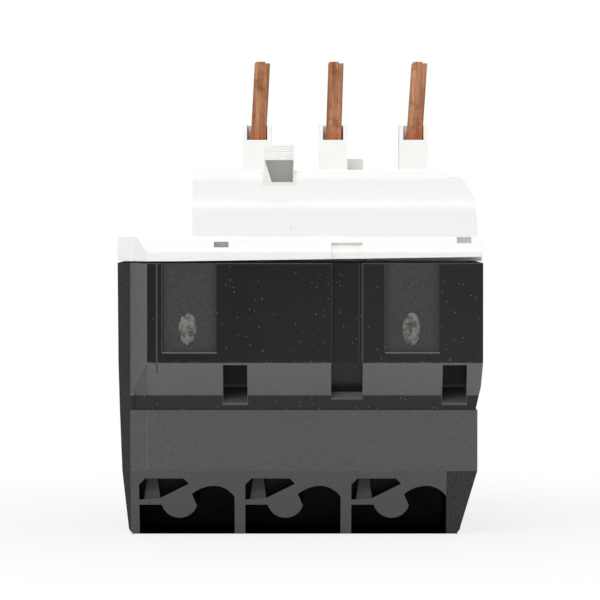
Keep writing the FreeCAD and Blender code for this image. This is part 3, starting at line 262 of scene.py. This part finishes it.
soft_box("top_box", (0.0, 0.10, 0.95), size=0.7, power=2.3)
soft_box("rear_box_high", (0.25, 0.80, 0.75), size=0.5, power=4.2)
soft_box("rear_box_left", (0.75, 0.55, 0.25), size=0.4, power=1.2)
soft_box("rear_box_right", (-0.75, 0.55, 0.25), size=0.4, power=1.2)
soft_box("front_box", (0.0, -0.9, 0.6), size=0.7, power=5.0)

# %% [markdown]
# ## Finishes
# Every finish is a small node tree on Object coordinates, so it sticks to the piece. A finish has
# a colour that varies a little, a roughness that varies with it, and a bump at the size of the
# real grain. These helpers are the words that the finishes are written in: grain, ramp, relief,
# specks.

# %% Finish helpers
def start_finish(name, colour, roughness, metallic=0.0):
    """A material with a Principled shader; gives the material, its tree and the shader."""
    material = bpy.data.materials.new(name)
    material.use_nodes = True
    tree = material.node_tree
    tree.nodes.clear()
    shader = node(tree, "BsdfPrincipled", Base_Color=(*colour, 1), Roughness=roughness,
                  Metallic=metallic)
    node(tree, "OutputMaterial", Surface=shader.outputs[0])
    return material, tree, shader


def finish_with(tree, shader, colour, roughness, normal):
    """Links the three sockets that vary over a finish."""
    tree.links.new(colour, shader.inputs["Base Color"])
    tree.links.new(roughness, shader.inputs["Roughness"])
    tree.links.new(normal, shader.inputs["Normal"])


def place_in(tree):
    """The point on the piece, in metres."""
    return node(tree, "TexCoord").outputs["Object"]


def grain(tree, size, detail=3.0, roughness=0.55, where=None):
    """Cloudy noise whose lumps are about size across, 0 to 1."""
    made = node(tree, "TexNoise", Vector=where or place_in(tree), Scale=1 / size, Detail=detail,
                Roughness=roughness)
    return made.outputs["Fac"]


def ramp(tree, value, start, end, low_value=0.0, high_value=1.0):
    """Carries value from start..end to low_value..high_value, held inside."""
    made = node(tree, "MapRange", i0=value, i1=start, i2=end, i3=low_value, i4=high_value)
    made.clamp = True
    return made.outputs[0]


def two_colours(tree, share, first, second):
    """first where share is 0, second where it is 1."""
    made = node(tree, "Mix", {"data_type": "RGBA"})
    for index, value in ((0, share), (6, first), (7, second)):
        if isinstance(value, bpy.types.NodeSocket):
            tree.links.new(value, made.inputs[index])
        else:
            made.inputs[index].default_value = value if index == 0 else (*value, 1)
    return made.outputs[2]


def two_numbers(tree, share, first, second):
    """first where share is 0, second where it is 1: share * second + (1 - share) * first."""
    return maths(tree, "ADD", times(tree, share, second),
                 times(tree, maths(tree, "SUBTRACT", 1.0, share), first))


def relief(tree, height, depth, under=None):
    """Bump of the given depth in metres from a height of 0 to 1."""
    made = node(tree, "Bump", Height=height, Distance=depth, Strength=1.0)
    if under is not None:
        tree.links.new(under, made.inputs["Normal"])
    return made.outputs[0]


def specks(tree, spacing, radius, share):
    """Dust: round dots in a share of the cells of a Voronoi pattern, 1 on a dot."""
    cells = node(tree, "TexVoronoi", Vector=place_in(tree), Scale=1 / spacing, Randomness=1.0)
    draw = node(tree, "SeparateColor", Color=cells.outputs["Color"]).outputs[0]
    chosen = maths(tree, "LESS_THAN", draw, share)
    close = ramp(tree, cells.outputs["Distance"], radius / spacing, radius * 0.5 / spacing)
    return times(tree, chosen, close)


def inside(tree, value, start, end, soft=0.02 * MM):
    """1 where value lies between start and end, with a soft edge."""
    above = ramp(tree, value, start - soft, start + soft)
    below = ramp(tree, value, end - soft, end + soft, 1.0, 0.0)
    return times(tree, above, below)


def linear(red, green, blue):
    """Screen colour 0 to 255 to the linear values that shaders use, by the sRGB curve."""
    screen = np.array([red, green, blue]) / 255
    return tuple(np.where(screen <= 0.04045, screen / 12.92, ((screen + 0.055) / 1.055) ** 2.4))


print("finish helpers ready")

# %% [markdown]
# ## Moulded plastic
# Most pieces are injection-moulded. A mould's surface is spark-eroded to a fine grain, which the
# plastic takes over. The colour drifts by a few per cent over some millimetres, and dust settles
# on pale parts. The same function serves every plain plastic, so only its colour and grain
# change.

# %% Plain moulded plastic
def moulded(name, colour, roughness, grain_size, grain_depth, mottle=0.06, dust=0.0, painted_shade=None):
    """Colour * (1 +- mottle) by slow noise, spark grain as bump, dust in a share of the cells.
    The function given last may lay one more colour over the result, a painted shade."""
    material, tree, shader = start_finish(name, colour, roughness)
    dark = tuple(channel * (1 - mottle) for channel in colour)
    pale = tuple(min(1.0, channel * (1 + mottle)) for channel in colour)
    tint = two_colours(tree, grain(tree, 6 * MM, 2.0), dark, pale)
    if dust:
        dots = specks(tree, 1.1 * MM, 0.11 * MM, dust)
        tint = two_colours(tree, times(tree, dots, 0.6), tint, (0.35, 0.33, 0.31))
    # painted shade laid over the tint, where a function for it is given
    if painted_shade:
        tint = painted_shade(tree, tint)
    rough = ramp(tree, grain(tree, 2 * MM, 4.0), 0.3, 0.7, roughness * 0.88,
                 min(1.0, roughness * 1.15))
    finish_with(tree, shader, tint, rough, relief(tree, grain(tree, grain_size, 2.0), grain_depth))
    return material


def catch_painted_shade(tree, tint):
    """Painted shade: the pit under the grip of the catch is painted a little olive grey."""
    across, deep, up = node(tree, "SeparateXYZ", Vector=place_in(tree)).outputs
    pit_painted_shade = times(tree, inside(tree, up, 43.0 * MM, 46.1 * MM),
                times(tree, inside(tree, across, 0.4 * MM, 4.6 * MM),
                      inside(tree, deep, rear - 8 * MM, rear - 2 * MM)))
    return two_colours(tree, times(tree, pit_painted_shade, 0.2), tint, linear(196, 198, 178))


FINE = {"grain_size": 0.3 * MM, "grain_depth": 0.01 * MM}
COARSE = {"grain_size": 0.3 * MM, "grain_depth": 0.02 * MM}
finishes = {
    "white_plastic": moulded("housing_white", linear(249, 251, 248), 0.42, 0.25 * MM, 0.01 * MM,
                             mottle=0.012, dust=0.02, painted_shade=catch_painted_shade),
    "cream_plastic": moulded("slider_cream", linear(226, 214, 184), 0.45, **COARSE),
    "grey_plastic": moulded("lever_grey", linear(120, 123, 126), 0.45, **COARSE),
    "dial_plastic": moulded("dial_black", linear(40, 42, 46), 0.4, **COARSE),
    "red_plastic": moulded("stop_red", linear(184, 28, 24), 0.35, **FINE),
    "blue_plastic": moulded("reset_blue", linear(26, 88, 170), 0.35, **FINE),
    "yellow_plastic": moulded("flag_yellow", linear(232, 180, 24), 0.4, **FINE),
}
print("plastics", len(finishes))

# %% [markdown]
# ## Black base
# The base is one moulding, but its tool was finished face by face: the rear wall is polished, the
# foot and the slope are matte, and the recesses are lightly textured. Some zones carry painted
# light: the slope, the floors of the notches and the ramp at the foot of the channel are painted
# pale, the draughted corner of the foot is painted darker as painted shade, and rounded edges get
# a thin pale line as a painted highlight. One material can carry all of that if each face is a
# zone: a box in space, with the colour, roughness and texture that hold inside it. Zones are laid
# over one another in order, as masking tape is. The depth of a zone is measured from the rear
# wall.

# %% Black base
HALF = 30
NEUTRAL, WARM, COOL = (1.0, 0.99, 1.0), (1.05, 0.99, 0.95), (1.0, 0.98, 1.02)
PLAIN, VIOLET, FAINT = (1.0, 1.0, 1.0), (1.0, 0.95, 1.05), (1.0, 0.98, 1.0)
RECESSES = ((10.2, 16.9), (-17.1, -10.4))
NOTCHES = ((6.4, 9.5), (-20.5, -17.4))
CHANNEL = (-7.68, -3.82)
# a zone: left, right, low, high, front, back in mm; grey level; cast; roughness; texture
zones = [
    # sides, front and everything inside; then the polished rear wall
    ((-HALF, HALF, -1, 34, -75, 1), 0.014, NEUTRAL, 0.42, 0.7),
    ((-HALF, 18.7, 21.3, 33.6, -2, 1), 0.0045, COOL, 0.14, 0.05),
    # matte, spark-eroded faces of the foot, with painted shade darkening the draughted corner
    ((-HALF, HALF, 0, 15.4, -8, -1), 0.083, NEUTRAL, 0.55, 1.0),
    ((-HALF, -18, 0, 7.9, -8, -1), 0.016, NEUTRAL, 0.50, 1.0),
    # polished set-back band, and the matte slope over it painted pale as painted light
    ((-HALF, HALF, 15.4, 17.2, -8, -1), 0.020, PLAIN, 0.25, 0.1),
    ((-HALF, HALF, 17.2, 21.3, -5, -0.03), 0.150, NEUTRAL, 0.60, 1.0),
    # bevelled corner and the band beside it
    ((18.7, 20.85, 17.2, 34, -5, 0.1), 0.114, WARM, 0.60, 1.0),
    ((20.85, HALF, 0, 34, -8, -1), 0.023, PLAIN, 0.30, 0.4),
]
# recesses, each with a thin pale line on its lower edge as a painted highlight
for left, right in RECESSES:
    zones.append(((left, right, 22.6, 33.4, -1, 0), 0.035, VIOLET, 0.50, 0.8))
    zones.append(((left, right, 22.42, 22.62, -1, 0.1), 0.12, PLAIN, 0.4, 0.5))
zones += [
    # painted highlight lines: top rim of the wall, joint with the side shell
    ((-HALF, HALF, 33.38, 33.6, -1, 0.1), 0.06, PLAIN, 0.4, 0.5),
    ((17.42, 17.62, 17.2, 33.6, -1, 0.1), 0.06, PLAIN, 0.4, 0.5),
    # channel where it crosses the slope, and a painted highlight on the ramp at its foot
    ((*CHANNEL, 17.5, 21.35, -6, -0.5), 0.010, COOL, 0.22, 0.2),
    ((*CHANNEL, 16.7, 17.6, -6, -0.5), 0.120, PLAIN, 0.40, 0.5),
    # painted highlight lines: channel edges, far edges of the recesses, joint line on the foot
    ((-3.93, -3.82, 21.3, 33.6, -2, 0.1), 0.05, PLAIN, 0.4, 0.5),
    ((-7.30, -7.18, 21.3, 33.6, -2, 0.1), 0.04, PLAIN, 0.4, 0.5),
    ((-7.72, -7.58, 21.3, 33.6, -2, 0.1), 0.08, PLAIN, 0.4, 0.5),
    ((-10.5, -10.36, 22.6, 33.6, -1, 0.1), 0.07, PLAIN, 0.4, 0.5),
    ((16.84, 16.96, 22.6, 33.6, -1, 0.1), 0.05, PLAIN, 0.4, 0.5),
    ((18.72, 18.84, 8.0, 15.3, -4, -2), 0.11, PLAIN, 0.5, 0.8),
]
# floors of the notches, painted paler as painted light
zones += [((left, right, 16.0, 18.4, -15, -0.1), 0.09, FAINT, 0.45, 0.6)
          for left, right in NOTCHES]
REAR_FACING_ONLY = -13


def black_base():
    """Black zones with painted light and shade, painted glints in the texture, dust, a scuffed
    edge.
    """
    material, tree, shader = start_finish("base_black", (0.006, 0.006, 0.006), 0.3)
    shader.inputs["Specular IOR Level"].default_value = 0.27
    across, deep, up = node(tree, "SeparateXYZ", Vector=place_in(tree)).outputs
    normal = node(tree, "SeparateXYZ", Vector=node(tree, "TexCoord").outputs["Normal"])
    facing = ramp(tree, normal.outputs[1], 0.2, 0.3)
    tint, rough, coarse = (0.014, 0.014, 0.014), 0.42, 0.7
    for (left, right, under, over, front, back), level, cast, dull, texture in zones:
        mask = times(tree, inside(tree, across, left * MM, right * MM),
                     inside(tree, up, under * MM, over * MM),
                     inside(tree, deep, rear + front * MM, rear + back * MM))
        if front > REAR_FACING_ONLY:
            mask = times(tree, mask, facing)
        tint = two_colours(tree, mask, tint, tuple(level * channel for channel in cast))
        rough = two_numbers(tree, mask, rough, dull)
        coarse = two_numbers(tree, mask, coarse, texture)
    # painted light: the polished wall is painted a shade paler toward -X
    polished = maths(tree, "LESS_THAN", rough, 0.16)
    painted_light_fade = times(tree, polished, ramp(tree, across, -16 * MM, 12 * MM, 0.55, 0.0))
    tint = two_colours(tree, painted_light_fade, tint, (0.020, 0.019, 0.020))
    cloud = ramp(tree, grain(tree, 3 * MM, 4.0), 0.3, 0.7, -0.03, 0.05)
    # painted glints: pale points where the texture catches light; dust lies on the polished wall
    points = times(tree, ramp(tree, grain(tree, 0.28 * MM, 2.0), 0.25, 0.75), coarse)
    tint = two_colours(tree, times(tree, points, 0.12), tint, (0.30, 0.29, 0.29))
    clean = ramp(tree, coarse, 0.1, 0.9, 1.0, 0.25)
    dots = times(tree, specks(tree, 0.5 * MM, 0.09 * MM, 0.30), clean)
    fibre = times(tree, ramp(tree, grain(tree, 1.2 * MM, 6.0, 0.7), 0.66, 0.76), 0.10)
    edge = inside(tree, up, 21.2 * MM, 21.4 * MM, 0.1 * MM)
    worn = ramp(tree, grain(tree, 0.8 * MM, 5.0, 0.7), 0.45, 0.65)
    scuff = times(tree, edge, worn, inside(tree, deep, rear - 0.4 * MM, rear + 1 * MM), 0.35)
    dirt = maths(tree, "ADD", dots, maths(tree, "ADD", fibre, scuff))
    dirt = maths(tree, "MINIMUM", dirt, 1.0)
    tint = two_colours(tree, times(tree, dirt, 0.5), tint, (0.30, 0.28, 0.27))
    spark = relief(tree, times(tree, grain(tree, 0.22 * MM, 2.0), coarse), 0.02 * MM)
    wave = relief(tree, grain(tree, 10 * MM, 1.0), 0.04 * MM, spark)
    finish_with(tree, shader, tint, maths(tree, "ADD", rough, cloud), wave)
    return material


finishes["black_plastic"] = black_base()
print("zones on the base", len(zones))

# %% [markdown]
# ## Metals
# The clamps and screws are zinc-plated steel, the bars are brass and copper, and the bimetals are
# rolled strip. Rolling draws scratches out along the strip, so noise is squeezed across it and
# stretched along it by a Mapping node. Stains are slow noise in a darker shade of the same metal.

# %% Rolled metals
def metal(name, colour, roughness, stretch, stain, stain_colour):
    """Streaks of noise drawn out along one axis, darker stains, a fine scratched bump."""
    material, tree, shader = start_finish(name, colour, roughness, 1.0)
    lay = node(tree, "Mapping", Vector=place_in(tree), Scale=stretch).outputs[0]
    streak = grain(tree, 0.3 * MM, 3.0, 0.6, lay)
    cloud = ramp(tree, grain(tree, 1.6 * MM, 4.0), 0.45, 0.75, 0.0, stain)
    tint = two_colours(tree, cloud, colour, stain_colour)
    shade = two_colours(tree, ramp(tree, streak, 0.3, 0.7, 0.0, 0.35), tint, stain_colour)
    rough = ramp(tree, streak, 0.3, 0.7, roughness * 0.8, roughness * 1.3)
    finish_with(tree, shader, shade, rough, relief(tree, streak, 0.01 * MM))
    return material


ALONG_Y, ALONG_Z, EVEN = (1, 0.1, 1), (1, 1, 0.1), (1, 1, 1)
metals = {
    "copper_bar": ("bar_copper", (190, 120, 84), 0.35, ALONG_Y, 0.4, (120, 66, 42)),
    "brass": ("contact_brass", (196, 168, 98), 0.3, ALONG_Z, 0.3, (130, 100, 50)),
    "steel": ("pivot_steel", (170, 172, 176), 0.3, ALONG_Z, 0.3, (110, 110, 114)),
    "zinc_steel": ("clamp_zinc", (186, 190, 198), 0.32, (1, 0.2, 1), 0.4, (132, 134, 140)),
    "bimetal": ("strip_bimetal", (160, 158, 154), 0.28, ALONG_Z, 0.4, (120, 104, 84)),
    "heater_wire": ("heater_grey", (128, 124, 120), 0.4, EVEN, 0.5, (70, 60, 56)),
}
for slot, (name, colour, roughness, stretch, stain, stain_colour) in metals.items():
    finishes[slot] = metal(name, linear(*colour), roughness, stretch, stain, linear(*stain_colour))
print("metals", len(metals))

# %% [markdown]
# ## Copper pins
# The line pins are copper strip folded on itself, bare, and handled. They show lengthwise streaks
# from rolling and brown patches of tarnish, and the foot where they stand in the white sockets is
# painted redder and darker as a painted glow. Three layers of colour are laid over one another,
# each with its own noise.

# %% Copper of the pins
def rolled_copper():
    """Lengthwise streaks, tarnish patches, a painted redder glow at the foot, and pits in the
    bump.
    """
    material, tree, shader = start_finish("pin_copper", linear(214, 150, 110), 0.34, 1.0)
    spot = place_in(tree)
    up = node(tree, "SeparateXYZ", Vector=spot).outputs[2]
    lay = node(tree, "Mapping", Vector=spot, Scale=(1, 1, 0.05)).outputs[0]
    streak = grain(tree, 0.5 * MM, 4.0, 0.65, lay)
    tint = two_colours(tree, ramp(tree, streak, 0.35, 0.65), linear(176, 118, 84),
                       linear(232, 172, 132))
    tarnish = ramp(tree, grain(tree, 1.6 * MM, 5.0, 0.65), 0.50, 0.68, 0.0, 0.75)
    tint = two_colours(tree, tarnish, tint, linear(158, 98, 66))
    # painted glow: the foot of each pin, where it stands in its socket, is painted redder and
    # darker
    foot_painted_glow = ramp(tree, up, sockets_top - 3 * MM, sockets_top + 0.2 * MM, 1.0, 0.0)
    tint = two_colours(tree, times(tree, foot_painted_glow, 0.8), tint, linear(212, 106, 58))
    pits = relief(tree, grain(tree, 0.3 * MM, 4.0), 0.01 * MM)
    finish_with(tree, shader, tint, ramp(tree, streak, 0.3, 0.7, 0.28, 0.46),
                relief(tree, streak, 0.02 * MM, pits))
    return material


finishes["copper"] = rolled_copper()
print("copper of the pins ready")

# %% [markdown]
# ## Clear cover
# The cover over the dial is clear plastic. A refracting shader on a closed thin shell bends light
# as the real lid does, and slight ripples and fine wear keep it from looking like empty air.

# %% Clear cover
def clear_cover():
    """A thin refracting shell with slight ripples and fine wear."""
    material, tree, shader = start_finish("cover_clear", (0.95, 0.97, 0.97), 0.06)
    shader.inputs["Transmission Weight"].default_value = 1.0
    shader.inputs["IOR"].default_value = 1.49
    wear = ramp(tree, grain(tree, 1 * MM, 5.0), 0.55, 0.8, 0.04, 0.22)
    tree.links.new(wear, shader.inputs["Roughness"])
    ripple = relief(tree, grain(tree, 6 * MM, 1.0), 0.03 * MM)
    tree.links.new(ripple, shader.inputs["Normal"])
    return material


finishes["clear_plastic"] = clear_cover()
print("finishes", len(finishes))

# %% [markdown]
# ## Dress the solids
# The record names a material slot for every solid. The finish of that name goes into the solid's
# own slot, so the mesh itself is never touched.

# %% Put the finishes on the CAD nodes
slot_of = {part["node"]: part["material_slot"] for part in frame["record"]["subparts"]}
for name, thing in nodes.items():
    for slot in thing.material_slots:
        slot.material = finishes[slot_of[name]]
print("dressed", len(nodes), "nodes")

# %% [markdown]
# ## Making a piece
# Each small piece is a surface worked out as an array of points. A surface through rings is the
# simplest closed shape: neighbouring rings are joined by triangles and the two ends are shut by a
# point. Whether the triangles face outwards is read from the sign of the volume that they
# enclose.

# %% Piece helpers
body_of = {name: thing["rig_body"] for name, thing in nodes.items()}


def add_piece(name, points, triangles, node_name, slot_name, material, smooth=True):
    """A mesh that rides with a CAD node.  Six times the volume is the sum of a . (b x c) over the
    triangles, and if it comes out negative they are turned over."""
    first, second, third = (points[triangles[:, corner]] for corner in range(3))
    if np.einsum("ij,ij->i", first, np.cross(second, third)).sum() < 0:
        triangles = triangles[:, ::-1]
    mesh = bpy.data.meshes.new(name)
    mesh.from_pydata(points.tolist(), [], triangles.tolist())
    mesh.polygons.foreach_set("use_smooth", [smooth] * len(triangles))
    mesh.materials.append(material)
    piece = bpy.data.objects.new(name, mesh)
    bpy.context.collection.objects.link(piece)
    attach(piece, body_of[node_name])
    return piece


def closed_rings(rings):
    """Points and triangles of the surface through rings (rings x points x 3), shut by a point at
    each end.  Point p of a ring joins point p + 1 of it and point p of the next ring."""
    count, around = rings.shape[:2]
    ends = [rings[0].mean(axis=0), rings[-1].mean(axis=0)]
    points = np.concatenate([rings.reshape(-1, 3), ends])
    here = np.arange(count * around).reshape(count, around)
    after = np.roll(here, -1, axis=1)
    one = np.stack([here[:-1], after[:-1], after[1:]], axis=-1).reshape(-1, 3)
    two = np.stack([here[:-1], after[1:], here[1:]], axis=-1).reshape(-1, 3)
    start = np.stack([np.full(around, count * around), after[0], here[0]], axis=-1)
    end = np.stack([np.full(around, count * around + 1), here[-1], after[-1]], axis=-1)
    return points, np.concatenate([one, two, start, end])


# %% [markdown]
# ## Gate scars
# Plastic enters the mould of the base through a gate, and where the sprue is broken off a rough
# oval scar is left. There is one in each recess of the rear wall. Each is made as a low, lumpy
# lens: rings of points round a centre, raised by a dome and by noise, with a flat underside just
# inside the wall. Its finish is torn plastic, pale on the crests, with painted shade in the
# clefts.

# %% Gate scars
def torn_plastic():
    """Pale crests, and clefts darkened as painted shade, from noise the size of the tears."""
    material, tree, shader = start_finish("gate_scar", linear(110, 112, 106), 0.45)
    tear = grain(tree, 0.7 * MM, 4.0, 0.7)
    # painted shade: the clefts of the tears are painted dark
    tint = two_colours(tree, ramp(tree, tear, 0.40, 0.60), linear(62, 62, 59),
                       linear(124, 126, 119))
    tree.links.new(tint, shader.inputs["Base Color"])
    tree.links.new(relief(tree, tear, 0.3 * MM), shader.inputs["Normal"])
    return material


SCAR_HALF_WIDE = 1.1 * MM
SCAR_HALF_HIGH = 2.0 * MM
SCAR_POINTS = 72
SCAR_RINGS = 14


def gate_scar(name, centre, seed, finish):
    """Low rough lens on the floor of a recess.  Height over the floor = rim + dome * (1 - r^2) +
    lumps, and its half width and half height swell by a per cent or two round the rim."""
    rng = np.random.default_rng(seed)
    angle = np.linspace(0, 2 * np.pi, SCAR_POINTS, endpoint=False)
    swell = 1 + 0.02 * np.sin(3 * angle + seed) + 0.015 * np.sin(8 * angle + 2 * seed)
    radius = np.concatenate([[0.2, 1.0], np.linspace(1.0, 0.04, SCAR_RINGS)])[:, None]
    lumps = rng.random((SCAR_RINGS + 2, SCAR_POINTS)) * 0.05 * MM
    lumps += 0.03 * MM * np.sin(5 * radius + 2 * angle + seed)
    height = (0.04 + 0.10 * (1 - radius ** 2)) * MM + lumps
    height[:2] = -0.10 * MM
    height[2] = 0.0
    across = centre[0] + SCAR_HALF_WIDE * radius * swell * np.cos(angle)
    up = centre[2] + SCAR_HALF_HIGH * radius * swell * np.sin(angle)
    rings = np.stack([across, centre[1] + height, up], axis=-1)
    return add_piece(name, *closed_rings(rings), "base_housing", "black_plastic", finish)


scar_finish = torn_plastic()
recess_floor = rear - 0.45 * MM
SCAR_HEIGHT = 25.4 * MM
gate_scar("gate_scar_left", (13.75 * MM, recess_floor, SCAR_HEIGHT), 1, scar_finish)
gate_scar("gate_scar_right", (-13.63 * MM, recess_floor, SCAR_HEIGHT), 2, scar_finish)
print("gate scars on the recess floor at", round(recess_floor / MM, 2), "mm")

# %% [markdown]
# ## Ribs on the catch
# The catch that holds the relay to the contactor is pressed with a thumb, so its grip is ribbed.
# The ribs are moulded with the housing. Each is a long low ridge whose section is half a wave,
# closed at both ends and sunk a little into the grip.

# %% Ribs of the catch
RIB_COUNT = 6
RIB_PITCH = 0.3 * MM
RIB_PROUD = 0.07 * MM
RIB_HALF = 0.09 * MM
RIB_SUNK = 0.05 * MM
GRIP_LEFT, GRIP_RIGHT = 0.85 * MM, 4.3 * MM
grip_back = rear - 2.4 * MM
lowest_rib = 46.3 * MM


def ridge(name, height):
    """Ridge along X on a wall that looks along +Y.  Section: y = wall + proud * cos(turn), and
    z = height + half * sin(turn), for turn from -90 to 90 degrees, shut by a flat side in the
    wall.  The section shrinks toward the flat side at both ends of the ridge."""
    turn = np.linspace(-np.pi / 2, np.pi / 2, 13)
    root = grip_back - RIB_SUNK
    section_y = np.concatenate([grip_back + RIB_PROUD * np.cos(turn), [root, root]])
    section_z = height + np.concatenate([RIB_HALF * np.sin(turn), [RIB_HALF, -RIB_HALF]])
    along = np.array([GRIP_LEFT, GRIP_LEFT + RIB_HALF, GRIP_RIGHT - RIB_HALF, GRIP_RIGHT])[:, None]
    shrink = np.array([0.4, 1.0, 1.0, 0.4])[:, None]
    rings = np.stack([np.repeat(along, len(section_y), axis=1),
                      root + (section_y - root) * shrink,
                      height + (section_z - height) * shrink], axis=-1)
    return add_piece(name, *closed_rings(rings), "upper_housing", "white_plastic",
                     finishes["white_plastic"])


for index in range(RIB_COUNT):
    ridge("catch_rib_%d" % (index + 1), lowest_rib + RIB_PITCH * index)
print("ribs", RIB_COUNT)

# %% [markdown]
# ## Printing on the front
# The setting dial is read against a printed scale, and the terminals carry their usual numbers.
# Pad printing lays down a thin film of ink. Here the marks are closed solids, a few hundredths of
# a millimetre thick and sunk a little into the face, so that light catches their edges as it does
# on ink. Bars are worked out as boxes, and letters start as a font curve that is turned into a
# mesh.

# %% Printed bars and letters
INK = 0.04 * MM
SUNK = 0.03 * MM
ink = moulded("ink_black", linear(38, 38, 42), 0.5, 0.2 * MM, 0.01 * MM, mottle=0.1)
pale_ink = moulded("ink_white", linear(214, 214, 208), 0.5, 0.2 * MM, 0.01 * MM, mottle=0.05)
# corners of a bar are counted inner to outer, side to side, sunk to proud
BOX_SIDES = np.array([(0, 1, 3), (0, 3, 2), (4, 6, 7), (4, 7, 5), (0, 4, 5), (0, 5, 1),
                      (2, 3, 7), (2, 7, 6), (0, 2, 6), (0, 6, 4), (1, 5, 7), (1, 7, 3)])


def tick_ring(name, centre, inner, lengths, angles, wide, face):
    """Bars that point away from centre on a face that looks along -Y.  Corner = centre + radial *
    reach + tangent * half width, and each bar is a closed box of twelve triangles."""
    radial = np.stack([np.sin(angles), np.zeros_like(angles), np.cos(angles)], axis=-1)
    tangent = np.stack([np.cos(angles), np.zeros_like(angles), -np.sin(angles)], axis=-1)
    middle = np.array([centre[0], 0.0, centre[1]])
    corners = []
    for out, side, depth in [(o, s, d) for o in (0, 1) for s in (-1, 1) for d in (0, 1)]:
        reach = inner + out * lengths
        spot = middle + radial * reach[:, None] + tangent * (side * wide / 2)
        spot[:, 1] = face + SUNK - depth * (SUNK + INK)
        corners.append(spot)
    points = np.stack(corners, axis=1).reshape(-1, 3)
    triangles = (np.arange(len(angles))[:, None, None] * 8 + BOX_SIDES).reshape(-1, 3)
    return add_piece(name, points, triangles, "front_panel", "dial_plastic", ink, False)


def lettering(name, words, size, centre, face, dress):
    """Words as thin closed letters on a face that looks along -Y, centred at centre = (x, z).
    dress = (CAD node, material slot, ink)."""
    curve = bpy.data.curves.new(name, "FONT")
    curve.body = words
    curve.size = size
    curve.extrude = (INK + SUNK) / 2
    curve.resolution_u = 3
    curve.align_x = "CENTER"
    curve.align_y = "CENTER"
    drawn = bpy.data.objects.new(name + "_curve", curve)
    bpy.context.collection.objects.link(drawn)
    bpy.context.view_layer.update()
    graph = bpy.context.evaluated_depsgraph_get()
    mesh = bpy.data.meshes.new_from_object(drawn.evaluated_get(graph))
    bpy.data.objects.remove(drawn)
    shape = bmesh.new()
    shape.from_mesh(mesh)
    bmesh.ops.remove_doubles(shape, verts=shape.verts, dist=1e-7)
    bmesh.ops.triangulate(shape, faces=shape.faces)
    flat = np.array([vertex.co for vertex in shape.verts])
    triangles = np.array([[vertex.index for vertex in face.verts] for face in shape.faces])
    shape.free()
    points = np.stack([centre[0] + flat[:, 0], face - (INK - SUNK) / 2 - flat[:, 2],
                       centre[1] + flat[:, 1]], axis=-1)
    return add_piece(name, points, triangles, *dress, False)


print("ink film", round((INK + SUNK) / MM, 2), "mm")

# %% [markdown]
# ## The scale and the words
# The scale runs 120 degrees to each side of the top of the dial, with a long tick at every
# number. The words name the buttons, H and A are the two places of the collar, and the terminals
# and poles are numbered in the usual way. Each mark is placed from the box of the piece that it
# belongs to.

# %% Scale, words and numbers
on_panel = ("front_panel", "dial_plastic", ink)
on_base = ("base_housing", "black_plastic", pale_ink)
DIAL_PROUD = 0.3 * MM
POLES_SET_BACK = 10 * MM
panel_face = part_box("current_dial")[0][1] + DIAL_PROUD
poles_face = base_low[1] + POLES_SET_BACK

SCALE_TURN = np.radians(120)
TICKS = 25
LONG_EVERY = 6
NUMBER_RADIUS = 8.6 * MM
NUMBERS = ("1.6", "1.8", "2.0", "2.2", "2.4")
dial = middle_of("current_dial")[[0, 2]]
lengths = np.where(np.arange(TICKS) % LONG_EVERY == 0, 0.75, 0.4) * MM
tick_ring("scale_ticks", dial, 6.75 * MM, lengths, np.linspace(-SCALE_TURN, SCALE_TURN, TICKS),
          0.14 * MM, panel_face)
for number, angle in zip(NUMBERS, np.linspace(-SCALE_TURN, SCALE_TURN, len(NUMBERS))):
    spot = dial + NUMBER_RADIUS * np.array([np.sin(angle), np.cos(angle)])
    lettering("scale_" + number, number, 1.5 * MM, spot, panel_face, on_panel)

collar = middle_of("reset_selector")[[0, 2]]
stop = middle_of("stop_button")[[0, 2]]
words_beside = (("RESET", 1.5, collar, (0, 5.1)), ("STOP", 1.7, stop, (8.2, 0)),
                ("H", 1.7, collar, (5.3, 3.0)), ("A", 1.7, collar, (5.3, -3.0)))
for words, size, piece_middle, offset in words_beside:
    lettering("mark_" + words, words, size * MM, piece_middle + np.array(offset) * MM, panel_face,
              on_panel)

terminal_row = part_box("front_panel")[0][2] + 1.0 * MM
for index in range(4):
    number = str(98 - index)
    across = middle_of("control_screw_%d" % (index + 1))[0]
    lettering("terminal_" + number, number, 1.5 * MM, (across, terminal_row), panel_face, on_panel)

HALF_PITCH = 6.53 * MM
pole_row = middle_of("load_screw_1")[2] + 3.2 * MM
for index in range(3):
    number = str(6 - 2 * index)
    across = middle_of("load_screw_%d" % (index + 1))[0] - HALF_PITCH
    lettering("pole_" + number, number, 1.9 * MM, (across, pole_row), poles_face, on_base)
print("panel face at", round(panel_face / MM, 2), "mm, poles face at", round(poles_face / MM, 2))

# %% [markdown]
# ## Size
# The size of the dressed part, less the size of the CAD solids, is printed in millimetres.
# The dressed part has to be as large as the solids.

# %% Size table and finish
new_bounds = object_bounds()
growth = np.array(new_bounds) - np.array(cad_bounds)
print("size difference in mm", np.round(growth / MM, 3).tolist())
